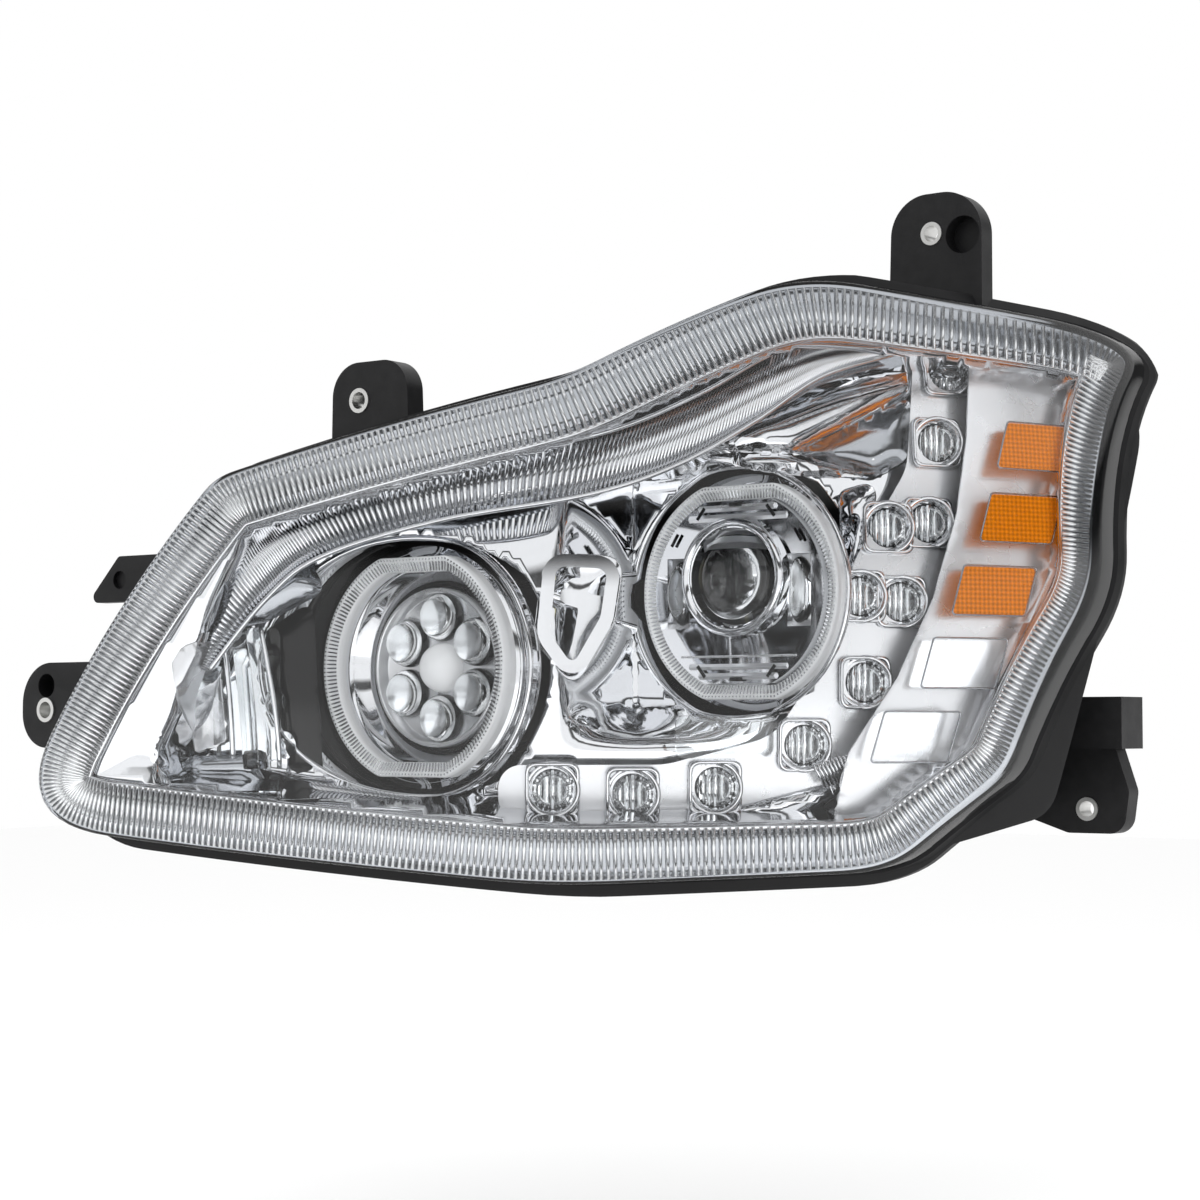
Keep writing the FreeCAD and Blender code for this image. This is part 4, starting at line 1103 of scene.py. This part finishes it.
    def build_brow(self) -> None:
        """Ribs across the brow, between its two edge lines, with a rail along each."""
        count = 190
        top = smooth_rail(self.upper, count)
        bottom = smooth_rail(self.lower, count)
        ribs = []
        for a, b in zip(top, bottom):
            start = SPACE.tilt(a.x, a.y, 24.0)
            end = SPACE.tilt(b.x, b.y, 29.0)
            ribs.append(Rib((start + end) / 2.0, end - start, -AXIAL, (end - start).length, 2.7 * MM, 1.9 * MM))
        row = ROWS.make("brow_ribs", ribs, Look.CHROME, Body.SHELL, 12)
        for name, rail, depth in (("brow_upper_rail", top, 22.5), ("brow_lower_rail", bottom, 27.0)):
            path = [SPACE.tilt(p.x, p.y, depth) for p in rail]
            piece = add_piece(name, *tube(path, 1.6, 10, False), Look.CHROME, Body.SHELL)

    def build_ribs(self) -> None:
        """Fine ribs on the foot panel and under the high lamp."""
        rows = (("foot_ribs", (132.0, -98.0), (182.0, -84.0), (8.0, -14.0), 22, 34.0),
                ("under_lamp_ribs", (-176.0, -108.0), (-112.0, -118.0), (14.0, -12.0), 24, 42.0))
        for name, start, end, run, count, depth in rows:
            ribs = []
            for number in range(count):
                spot = Vector(start).lerp(Vector(end), number / (count - 1))
                a = SPACE.tilt(spot.x, spot.y, depth)
                b = SPACE.tilt(spot.x + run[0], spot.y + run[1], depth + 2.0)
                ribs.append(Rib((a + b) / 2.0, b - a, -AXIAL, (b - a).length, 2.0 * MM, 1.6 * MM))
            ROWS.make(name, ribs, Look.CHROME, Body.SHELL, 8)


# ------------------------------------------------------------------ the two lamps


@dataclass
class LightRing:
    """Ring light guide, flat at its top and foot, with fine ribs across its face."""

    lamp: Lamp
    node: str
    radius: float = 72.5
    flat: float = 67.5
    band: float = 9.0
    depth: float = 12.0
    ribs: int = 170

    def path(self, inset: float, count: int) -> list[tuple[float, float]]:
        """The ring's outline moved inwards, as places about the axis."""
        radius = self.radius - inset
        flat = self.flat - inset
        spots = []
        for step in range(count):
            angle = 2.0 * math.pi * step / count
            x, z = radius * math.cos(angle), radius * math.sin(angle)
            spots.append((x, max(-flat, min(flat, z))))
        return spots

    def place(self, spot: tuple[float, float], back: float) -> Vector:
        """A place on the ring in the part's frame."""
        return SPACE.row(self.lamp.x + spot[0], self.lamp.y + back, self.lamp.z + spot[1])

    def build(self) -> None:
        """Builds the ring's solid and its ribs."""
        section = ((0.0, self.depth), (0.0, 1.4), (0.5, 0.4), (1.4, 0.0), (3.0, 0.0), (3.6, 0.8), (5.0, 2.4),
                   (8.2, 4.2), (8.8, 5.0), (self.band, 6.0), (self.band, self.depth))
        rings = [[self.place(spot, back) for spot in self.path(inset, 160)] for inset, back in section]
        points, faces = loft(rings, wrap=True)
        ring = add_piece(self.lamp.body.value + "_light_ring", points, faces, Look.FROST, self.lamp.body)
        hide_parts(self.node)
        outer = self.path(1.2, self.ribs)
        inner = self.path(8.6, self.ribs)
        ribs = []
        for a, b in zip(outer, inner):
            start = self.place(a, 0.1)
            end = self.place(b, 3.4)
            ribs.append(Rib((start + end) / 2.0, end - start, -DEPTH_Y, (end - start).length, 1.45 * MM, 1.3 * MM))
        row = ROWS.make(self.lamp.body.value + "_ring_ribs", ribs, Look.FLUTE, self.lamp.body, 6)
        collar = turned_piece(self.lamp.body.value + "_ring_collar", self.lamp,
                              ((62.0, 12.3), (75.0, 12.3), (75.0, 13.6), (62.0, 13.6)), Look.CHROME)


@dataclass
class LowBeam:
    """Projector with louvred chrome face and clear side optics."""

    face: float = 62.0
    # Height from the lamp's middle, distance behind its ring, and thickness of each bar.
    bars: tuple[tuple[float, float, float], ...] = (
        (53.0, -1.0, 4.0), (47.0, 0.5, 6.0), (38.5, 2.0, 9.0), (29.0, 3.0, 8.0), (-23.0, 3.0, 8.0),
        (-32.0, 2.5, 9.0), (-40.5, 1.5, 6.0), (-47.0, 0.5, 5.0), (-53.0, -1.0, 4.0),
    )
    # Across, up and lean of each slot of painted shade.
    shade_slots: tuple[tuple[float, float, float], ...] = (
        (0.0, 55.0, 0.0), (26.0, 50.0, -0.9), (-26.0, 50.0, 0.9), (0.0, -55.0, 0.0), (26.0, -50.0, 0.9),
        (-26.0, -50.0, -0.9), (46.0, -34.0, 1.0), (-46.0, 34.0, 1.0), (46.0, 34.0, -1.0),
    )

    def build(self) -> None:
        """Builds the ring, the louvres, the projector and the side optics."""
        LightRing(LOW, "low_halo").build()
        self.build_louvres()
        self.build_projector()
        self.build_side_optics()

    def build_louvres(self) -> None:
        """Stepped bars above and below the projector, and short slots of painted shade beyond them."""
        ribs = []
        for height, back, thick in self.bars:
            half = math.sqrt(self.face**2 - height**2) - 4.0
            middle = SPACE.row(LOW.x, LOW.y + back, LOW.z + height)
            ribs.append(Rib(middle, Vector((1.0, 0.0, 0.0)), -DEPTH_Y, 2.0 * half * MM, thick * MM, 4.0 * MM))
        bars = ROWS.make("low_louvre_bars", ribs, Look.SATIN, Body.LOW, 4)
        plate = turned_piece("low_face_plate", LOW, ((37.0, 6.4), (60.5, 6.4), (60.5, 8.0), (37.0, 8.0)), Look.SATIN)
        # Short near-black strips of painted shade, standing for the shadow in the louvre's gaps.
        shade_slots = []
        for across, height, lean in self.shade_slots:
            run = Vector((math.cos(lean), 0.0, math.sin(lean)))
            middle = SPACE.row(LOW.x + across, LOW.y - 2.6, LOW.z + height)
            shade_slots.append(Rib(middle, run, -DEPTH_Y, 9.0 * MM, 2.4 * MM, 1.2 * MM))
        marks = ROWS.make("low_louvre_shade_slots", shade_slots, Look.PAINTED_SHADE, Body.LOW, 8)

    def build_projector(self) -> None:
        """Convex projector glass in a bowl of near-black painted shade, with its chip at the bottom."""
        glass = [(0.05, -13.5), (8.0, -13.0), (15.0, -11.3), (21.0, -8.4), (26.0, -4.6), (29.5, -0.4),
                 (30.8, 2.0), (30.8, 5.0), (0.05, 5.0)]
        lens = turned_piece("low_projector_glass", PROJECTOR, glass, Look.GLASS)
        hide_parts("low_lens")
        # The bowl is near-black painted shade, standing for the dark inside of the projector.
        bowl = turned_piece("low_projector_bowl", PROJECTOR, ((31.0, 6.0), (28.0, 12.0), (20.0, 24.0), (6.0, 34.0),
                                                              (0.05, 34.5)), Look.PAINTED_SHADE)
        chip = turned_piece("low_projector_chip", PROJECTOR, ((0.05, 28.0), (5.0, 28.0), (5.6, 28.6), (5.6, 33.0)),
                            Look.EMITTER, 24)
        mouth = turned_piece("low_projector_rim", PROJECTOR, (
            (31.2, -2.0), (32.0, -7.0), (33.6, -9.4), (35.4, -9.8), (37.0, -8.6), (37.6, -4.0),
            (38.5, 0.0)), Look.CHROME)

    def build_side_optics(self) -> None:
        """A crowned clear pillow with a round outer side, on either side of the projector."""
        for way, node in ((-1.0, "low_side_optic_left"), (1.0, "low_side_optic_right")):
            rings = []
            for level in range(7):
                swell = math.sin(level / 6.0 * math.pi / 2.0)
                scale = 1.0 if level == 0 else 1.0 - 0.9 * (1.0 - math.cos(level / 6.0 * math.pi / 2.0))
                ring = []
                for step in range(40):
                    angle = 2.0 * math.pi * step / 40
                    across = 8.2 * math.cos(angle)
                    up = 21.0 * math.copysign(abs(math.sin(angle)) ** 0.8, math.sin(angle))
                    bend = -2.5 * (up / 21.0) ** 2 * way
                    ring.append(SPACE.row(LOW.x + way * 46.0 + across * scale + bend,
                                          LOW.y + 4.0 - 9.0 * swell, LOW.z + up * scale))
                rings.append(ring)
            points, faces = loft(rings)
            faces += [list(range(40)), list(range(len(points) - 40, len(points)))]
            mirror = [SPACE.row(LOW.x + way * 46.0 + 9.5 * math.cos(k * math.pi / 16.0), LOW.y + 5.5 + 2.0 * (k % 2),
                                LOW.z + 23.0 * math.sin(k * math.pi / 16.0)) for k in range(32)]
            back = [point + DEPTH_Y * 3.0 * MM for point in mirror]
            plate = add_piece(node + "_mirror", *capped(loft([mirror, back]), 32), Look.SATIN, Body.LOW)
            pillow = add_piece(node + "_pillow", points, faces, Look.GLASS, Body.LOW)
            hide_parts(node)


@dataclass
class HighBeam:
    """Six clear bubble lenses round a frosted one, in a stepped chrome barrel."""

    circle: float = 31.5
    bubble: float = 15.2
    dish: float = 46.5
    front: float = 17.0
    seat: float = 31.0

    def build(self) -> None:
        """Builds the ring, the bubbles, their dish and the bowl round them."""
        LightRing(HIGH, "high_halo").build()
        self.build_bubbles()
        self.build_bowl()

    def build_bubbles(self) -> None:
        """The bubble lenses, each a clear dome over a chip in its own cup."""
        for number in range(6):
            angle = math.radians(90.0 + 60.0 * number)
            spot = Lamp(Body.HIGH, HIGH.x + self.circle * math.cos(angle), HIGH.y,
                        HIGH.z + self.circle * math.sin(angle))
            self.dome(spot, self.bubble, "high_bubble_%d" % (number + 1), Look.GLASS)
            cup = self.behind_seat(((14.8, 1.0), (12.0, 5.0), (8.0, 9.0), (4.5, 11.5), (0.05, 12.0)))
            shell = turned_piece("high_cup_%d" % (number + 1), spot, cup, Look.SMOKE, 36)
            chip = self.behind_seat(((0.05, 8.6), (2.6, 8.6), (3.0, 9.0), (3.0, 11.0)))
            turned_piece("high_chip_%d" % (number + 1), spot, chip, Look.EMITTER, 16)
        centre = self.dome(HIGH, 15.5, "high_centre_disc", Look.FROST)
        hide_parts("high_optic")

    def behind_seat(self, profile: Profile) -> Profile:
        """A profile moved back to where the bubbles sit."""
        return [(radius, self.seat + back) for radius, back in profile]

    def dome(self, spot: Lamp, radius: float, name: str, look: Look) -> bpy.types.Object:
        """One bubble: a deep dome with a short straight wall."""
        deep = self.seat - self.front
        profile = [(0.05, self.front)]
        for step in range(1, 9):
            angle = step / 8.0 * math.pi / 2.0
            profile.append((radius * math.sin(angle), self.seat - deep * math.cos(angle)))
        profile += [(radius, self.seat + 1.5), (0.05, self.seat + 1.5)]
        return turned_piece(name, spot, profile, look, 40)

    def build_bowl(self) -> None:
        """Back dish with its lip, a line of painted shade, the bowl out to the ring and the stepped outside."""
        dish = turned_piece("high_back_dish", HIGH, (
            (0.05, 33.0), (self.dish - 1.0, 33.0), (self.dish, 32.0), (self.dish + 0.2, 24.0),
            (self.dish + 1.6, 22.6), (self.dish + 3.0, 24.0), (self.dish + 3.2, 33.0)), Look.SATIN)
        # A thin near-black ring of painted shade in the gap between the dish and the bowl.
        line = turned_piece("high_painted_shade_line", HIGH, (
            (50.0, 28.6), (52.8, 27.6), (53.6, 28.6), (50.2, 32.0)), Look.PAINTED_SHADE)
        bowl = turned_piece("high_bowl", HIGH, (
            (53.2, 28.4), (55.0, 25.5), (58.5, 21.0), (61.5, 16.5), (63.3, 12.4), (65.6, 12.6), (65.8, 15.0),
            (60.0, 25.0), (54.0, 31.0)), Look.CHROME)
        steps = turned_piece("high_stepped_outside", HIGH, (
            (71.5, 12.2), (69.6, 13.0), (69.2, 17.0), (70.2, 18.4), (72.2, 19.0), (72.4, 23.0), (70.8, 24.4),
            (69.4, 26.0), (69.4, 33.0), (71.4, 34.4), (72.6, 36.4), (71.4, 38.4), (60.0, 41.0)), Look.CHROME)
        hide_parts("high_optic_ring")


# ------------------------------------------------------------------ turn signal and side trim


@dataclass
class TurnSignal:
    """Clear jewels in square chrome cells, each with a cup and a fluted mirror behind it."""

    places: tuple[tuple[float, float], ...] = (
        (227.0, 157.0), (217.0, 108.0), (182.0, 51.0), (209.0, 55.0), (163.0, 7.0), (190.0, 4.0),
        (166.0, -47.0), (127.0, -86.0), (71.0, -112.0), (20.0, -116.0), (-29.0, -113.0),
    )
    radius: float = 12.2
    flutes: int = 14
    depth: float = 44.0

    def build(self) -> None:
        """Builds each jewel and its cup, and the upright ribs behind its glass."""
        ribs = []
        for number, (across, up) in enumerate(self.places, start=1):
            self.build_jewel(number, across, up)
            for column in range(-3, 4):
                side = 3.1 * column
                half = math.sqrt(self.radius**2 - side**2) - 0.8
                middle = SPACE.tilt(across + side, up, self.depth + 3.4 + 0.25 * abs(side))
                ribs.append(Rib(middle, UP, -AXIAL, 2.0 * half * MM, 2.7 * MM, 2.4 * MM))
        ROWS.make("turn_stripes", ribs, Look.FLUTE, Body.SHELL, 10)

    def build_jewel(self, number: int, across: float, up: float) -> None:
        """A fluted clear dome that sits in a flared cup."""
        hub = SPACE.tilt(across, up, self.depth)
        jewel = self.rounds(hub, ((0.05, -5.0), (4.0, -4.6), (8.0, -3.2), (10.5, -1.0), (11.8, 1.4),
                                  (11.8, 2.6), (0.05, 2.6)), 0.03)
        piece = add_piece("turn_jewel_%02d" % number, *jewel, Look.GLASS, Body.SHELL)
        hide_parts("turn_optic_%02d" % number)
        cup = self.rounds(hub, ((17.4, -1.0), (16.8, -4.2), (15.4, -4.6), (13.4, -2.0), (12.3, 1.0),
                                (12.2, 3.4)), 0.0)
        shell = add_piece("turn_cup_%02d" % number, *cup, Look.CHROME, Body.SHELL)
        flutes = self.rounds(hub, ((12.2, 3.2), (9.5, 6.0), (6.5, 9.5), (3.5, 12.0), (0.05, 12.6)), 0.22)
        mirror = add_piece("turn_mirror_%02d" % number, *flutes, Look.CHROME, Body.SHELL)
        rings = []
        for half, depth in ((16.8, 47.0), (16.8, 41.0), (15.6, 38.6), (14.4, 40.0), (13.6, 44.4)):
            corners = [(across + x * half, up + z * half, 0.4 * half)
                       for x, z in ((1, 1), (-1, 1), (-1, -1), (1, -1))]
            rings.append([SPACE.tilt(spot[0], spot[1], depth) for spot in even_loop(corners, 64)])
        cell = add_piece("turn_cell_%02d" % number, *loft(rings), Look.CHROME, Body.SHELL)
        thicken(cell, 0.5)

    def rounds(self, hub: Vector, profile: Profile, flute: float) -> tuple[list[Vector], list[list[int]]]:
        """A turned skin about the tilted axis, with shallow flutes.

        Args:
            hub: Middle of the turned shape.
            profile: Radius and distance back, in order.
            flute: Share of the radius that the flutes take.

        Returns:
            Points and faces.
        """
        rings = []
        steps = self.flutes * 6
        for radius, back in profile:
            ring = []
            for step in range(steps):
                angle = 2.0 * math.pi * step / steps
                reach = radius * (1.0 + flute * (abs(math.sin(angle * self.flutes / 2.0)) - 1.0))
                ring.append(hub + (LATERAL * math.cos(angle) * reach + UP * math.sin(angle) * reach
                                   + AXIAL * back) * MM)
            rings.append(ring)
        return loft(rings)


@dataclass
class InnerCorner:
    """Upright rods, one of them clear, and small clear bumps at the inner end."""

    # Across, top and foot, lean to the outer side, radius and finish of each upright.
    uprights: tuple[tuple[float, float, float, float, float, Look], ...] = (
        (-231.0, -16.0, -96.0, 6.0, 1.8, Look.CHROME),
        (-222.0, -14.0, -100.0, 8.0, 5.0, Look.GLASS), (-208.0, -12.0, -100.0, 12.0, 1.6, Look.CHROME),
    )
    depth: float = 46.0
    bumps: tuple[tuple[float, float], ...] = ((-202.0, -32.0), (-199.0, -60.0), (-193.0, -86.0))

    def build(self) -> None:
        """Builds the uprights and the bumps."""
        for number, (across, top, foot, lean, radius, look) in enumerate(self.uprights, start=1):
            path = []
            for step in range(15):
                share = step / 14.0
                bend = lean * math.sin(share * math.pi / 2.0)
                spot = (across + bend, top + (foot - top) * share)
                path.append(SPACE.tilt(*spot, FRONT_ROOM + (self.depth - FRONT_ROOM) * room(spot, 10.0)))
            piece = add_piece("corner_upright_%d" % number, *tube(path, radius, 16, False), look, Body.SHELL)
        for number, (across, up) in enumerate(self.bumps, start=1):
            rings = []
            for level in range(6):
                angle = level / 5.0 * math.pi / 2.0
                reach = max(6.5 * math.cos(angle), 0.05)
                depth = 52.0 - 6.0 * math.sin(angle)
                rings.append([SPACE.tilt(across + reach * math.cos(k * math.pi / 12.0),
                                         up + 1.3 * reach * math.sin(k * math.pi / 12.0), depth)
                              for k in range(24)])
            bump = add_piece("corner_bump_%d" % number, *loft(rings), Look.GLASS, Body.SHELL)


@dataclass
class SideWindows:
    """Thin frames round the prisms and windows down the outer side."""

    places: tuple[tuple[float, float], ...] = (
        (283.0, 106.0), (269.0, 58.0), (249.0, 11.0), (228.0, -35.0), (196.0, -81.0),
    )
    half: tuple[float, float] = (25.2, 15.7)
    lean: float = 4.5
    depth: float = 13.0

    def build(self) -> None:
        """Builds one thin frame round each."""
        for number, (across, up) in enumerate(self.places, start=1):
            wide, high = self.half
            corners = ((across + wide + self.lean, up + high, 2.0), (across - wide + self.lean, up + high, 2.0),
                       (across - wide - self.lean, up - high, 2.0), (across + wide - self.lean, up - high, 2.0))
            path = [SPACE.tilt(spot[0], spot[1], self.depth) for spot in rounded(corners, 2.0)]
            frame_line = add_piece("side_frame_%d" % number, *tube(path, 0.6, 6, True), Look.SMOKE, Body.SHELL)


# ------------------------------------------------------------------ carried-over parts and studio

CAD_LOOKS: dict[Look, tuple[str, ...]] = {
    Look.BLACK: ("housing", "upper_outer_tab", "upper_inner_tab", "lower_inner_ear", "lower_outer_bracket",
                 "left_tab", "low_cap", "high_cap", "wiring_receptacle", "vent_cap", "low_yoke", "high_yoke"),
    Look.RUBBER: ("lens_seal",),
    Look.CHROME: ("teardrop_light_guide", "low_louvre", "low_lens_ring", "high_optic_ring", "low_barrel",
                  "high_barrel"),
    Look.SMOKE: ("brow_trim",),
    Look.SATIN: ("turn_reflector", "side_reflector"),
    Look.AMBER: ("reflex_upper", "reflex_middle", "reflex_lower"),
    Look.WINDOW: ("side_window_upper", "side_window_lower"),
    Look.GLASS: ("corner_light_guide", "lower_light_guide"),
    Look.STEEL: ("upper_outer_sleeve", "upper_inner_sleeve", "lower_inner_sleeve", "lower_outer_sleeve",
                 "low_aim_screw", "high_aim_screw"),
    Look.ALLOY: ("driver_module", "low_heat_sink", "high_heat_sink"),
    Look.NYLON: ("low_aim_nut", "high_aim_nut"),
}


def dress_frame() -> None:
    """Gives every carried-over node its finish."""
    for look, nodes in CAD_LOOKS.items():
        for node in nodes:
            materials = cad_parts[node].data.materials
            materials.clear()
            materials.append(PAINT.get(look))
            LOG.info("%s: %s", node, look.value)


@dataclass
class Studio:
    """White world and floor, soft lights, dark bands in the surroundings for the chrome, and the camera."""

    distance: float = 1.5
    eye: float = -0.076
    lens: float = 76.3
    # Height share and brightness of each step of the surroundings that gloss sees.
    stops: tuple[tuple[float, float], ...] = (
        (0.0, 0.45), (0.24, 0.75), (0.33, 0.16), (0.38, 0.9), (0.50, 1.0), (0.59, 1.0), (0.63, 0.07),
        (0.68, 0.05), (0.71, 1.0), (0.88, 1.0), (0.93, 0.3), (1.0, 0.95),
    )
    # How far the floor lies under the part, and half its side.
    floor_drop: float = 0.24
    floor_half: float = 6.0

    def build(self) -> None:
        """Sets up the whole studio."""
        self.build_camera()
        self.build_world()
        self.build_floor()
        self.build_lights()
        bpy.context.scene.view_settings.view_transform = "Standard"

    def build_camera(self) -> None:
        """A long lens in front of the tilted lens plane, a little below its middle."""
        camera = bpy.data.cameras.new("camera")
        camera.lens = self.lens
        camera.sensor_width = 36.0
        camera.clip_end = 50.0
        holder = bpy.data.objects.new("camera", camera)
        bpy.context.scene.collection.objects.link(holder)
        holder.location = SPACE.datum - AXIAL * self.distance + UP * self.eye
        aim = SPACE.datum - holder.location
        holder.rotation_euler = aim.to_track_quat("-Z", "Y").to_euler()
        bpy.context.scene.camera = holder

    def build_world(self) -> None:
        """White surroundings; gloss sees a softbox ceiling, a grey floor and dark gaps."""
        world = bpy.data.worlds.new("studio")
        bpy.context.scene.world = world
        world.use_nodes = True
        tree = world.node_tree
        tree.nodes.clear()
        wire = Wiring(tree)
        spot = wire.add("ShaderNodeTexCoord").outputs["Generated"]
        height = wire.add("ShaderNodeSeparateXYZ", {0: spot})
        lift = wire.math("ADD", wire.math("MULTIPLY", height.outputs[2], 0.5), 0.5)
        ramp = wire.add("ShaderNodeValToRGB", {0: lift})
        stops = self.stops
        band = ramp.color_ramp
        band.elements[0].position, band.elements[0].color = 0.0, (stops[0][1],) * 3 + (1.0,)
        band.elements[1].position, band.elements[1].color = 1.0, (stops[-1][1],) * 3 + (1.0,)
        for position, value in stops[1:-1]:
            band.elements.new(position).color = (value, value, value, 1.0)
        path = wire.add("ShaderNodeLightPath")
        gloss = wire.math("MAXIMUM", path.outputs["Is Glossy Ray"], path.outputs["Is Transmission Ray"])
        shade = wire.add("ShaderNodeMix", {0: gloss, 6: (1.0, 1.0, 1.0, 1.0), 7: ramp.outputs[0]}, data_type="RGBA")
        glow = wire.add("ShaderNodeBackground", {"Color": shade.outputs[2], "Strength": 1.0})
        wire.add("ShaderNodeOutputWorld", {"Surface": glow.outputs[0]})

    def build_floor(self) -> None:
        """A pale floor well below the lamp."""
        lowest = CAD_BOX[0].z - self.floor_drop
        size = self.floor_half
        mesh = bpy.data.meshes.new("floor")
        mesh.from_pydata([(-size, -size, lowest), (size, -size, lowest), (size, size, lowest), (-size, size, lowest)],
                         [], [(0, 1, 2, 3)])
        floor = bpy.data.objects.new("floor", mesh)
        bpy.context.scene.collection.objects.link(floor)
        material = bpy.data.materials.new("pale_floor")
        material.use_nodes = True
        surface = material.node_tree.nodes["Principled BSDF"]
        surface.inputs["Base Color"].default_value = (0.97, 0.97, 0.97, 1.0)
        surface.inputs["Roughness"].default_value = 0.9
        surface.inputs["Specular IOR Level"].default_value = 0.0
        mesh.materials.append(material)

    def build_lights(self) -> None:
        """Two soft panels from the front."""
        for name, across, up, back, size, power in (("key", -0.9, 1.1, -1.2, 2.0, 16.0),
                                                    ("fill", 1.3, 0.3, -1.0, 1.4, 12.0)):
            light = bpy.data.lights.new(name, "AREA")
            light.size = size
            light.energy = power
            holder = bpy.data.objects.new(name, light)
            bpy.context.scene.collection.objects.link(holder)
            holder.location = SPACE.datum + LATERAL * across + AXIAL * back + UP * up
            holder.rotation_euler = (SPACE.datum - holder.location).to_track_quat("-Z", "Y").to_euler()
            holder.visible_glossy = False


def main() -> None:
    """Builds the studio and every sub-assembly in order."""
    logging.basicConfig(level=logging.INFO, format="%(name)s %(message)s")
    Studio().build()
    dress_frame()
    cover = CoverLens()
    cover.build()
    Bezel(cover).build()
    LowBeam().build()
    HighBeam().build()
    TurnSignal().build()
    InnerCorner().build()
    SideWindows().build()


if __name__ == "__main__":
    main()
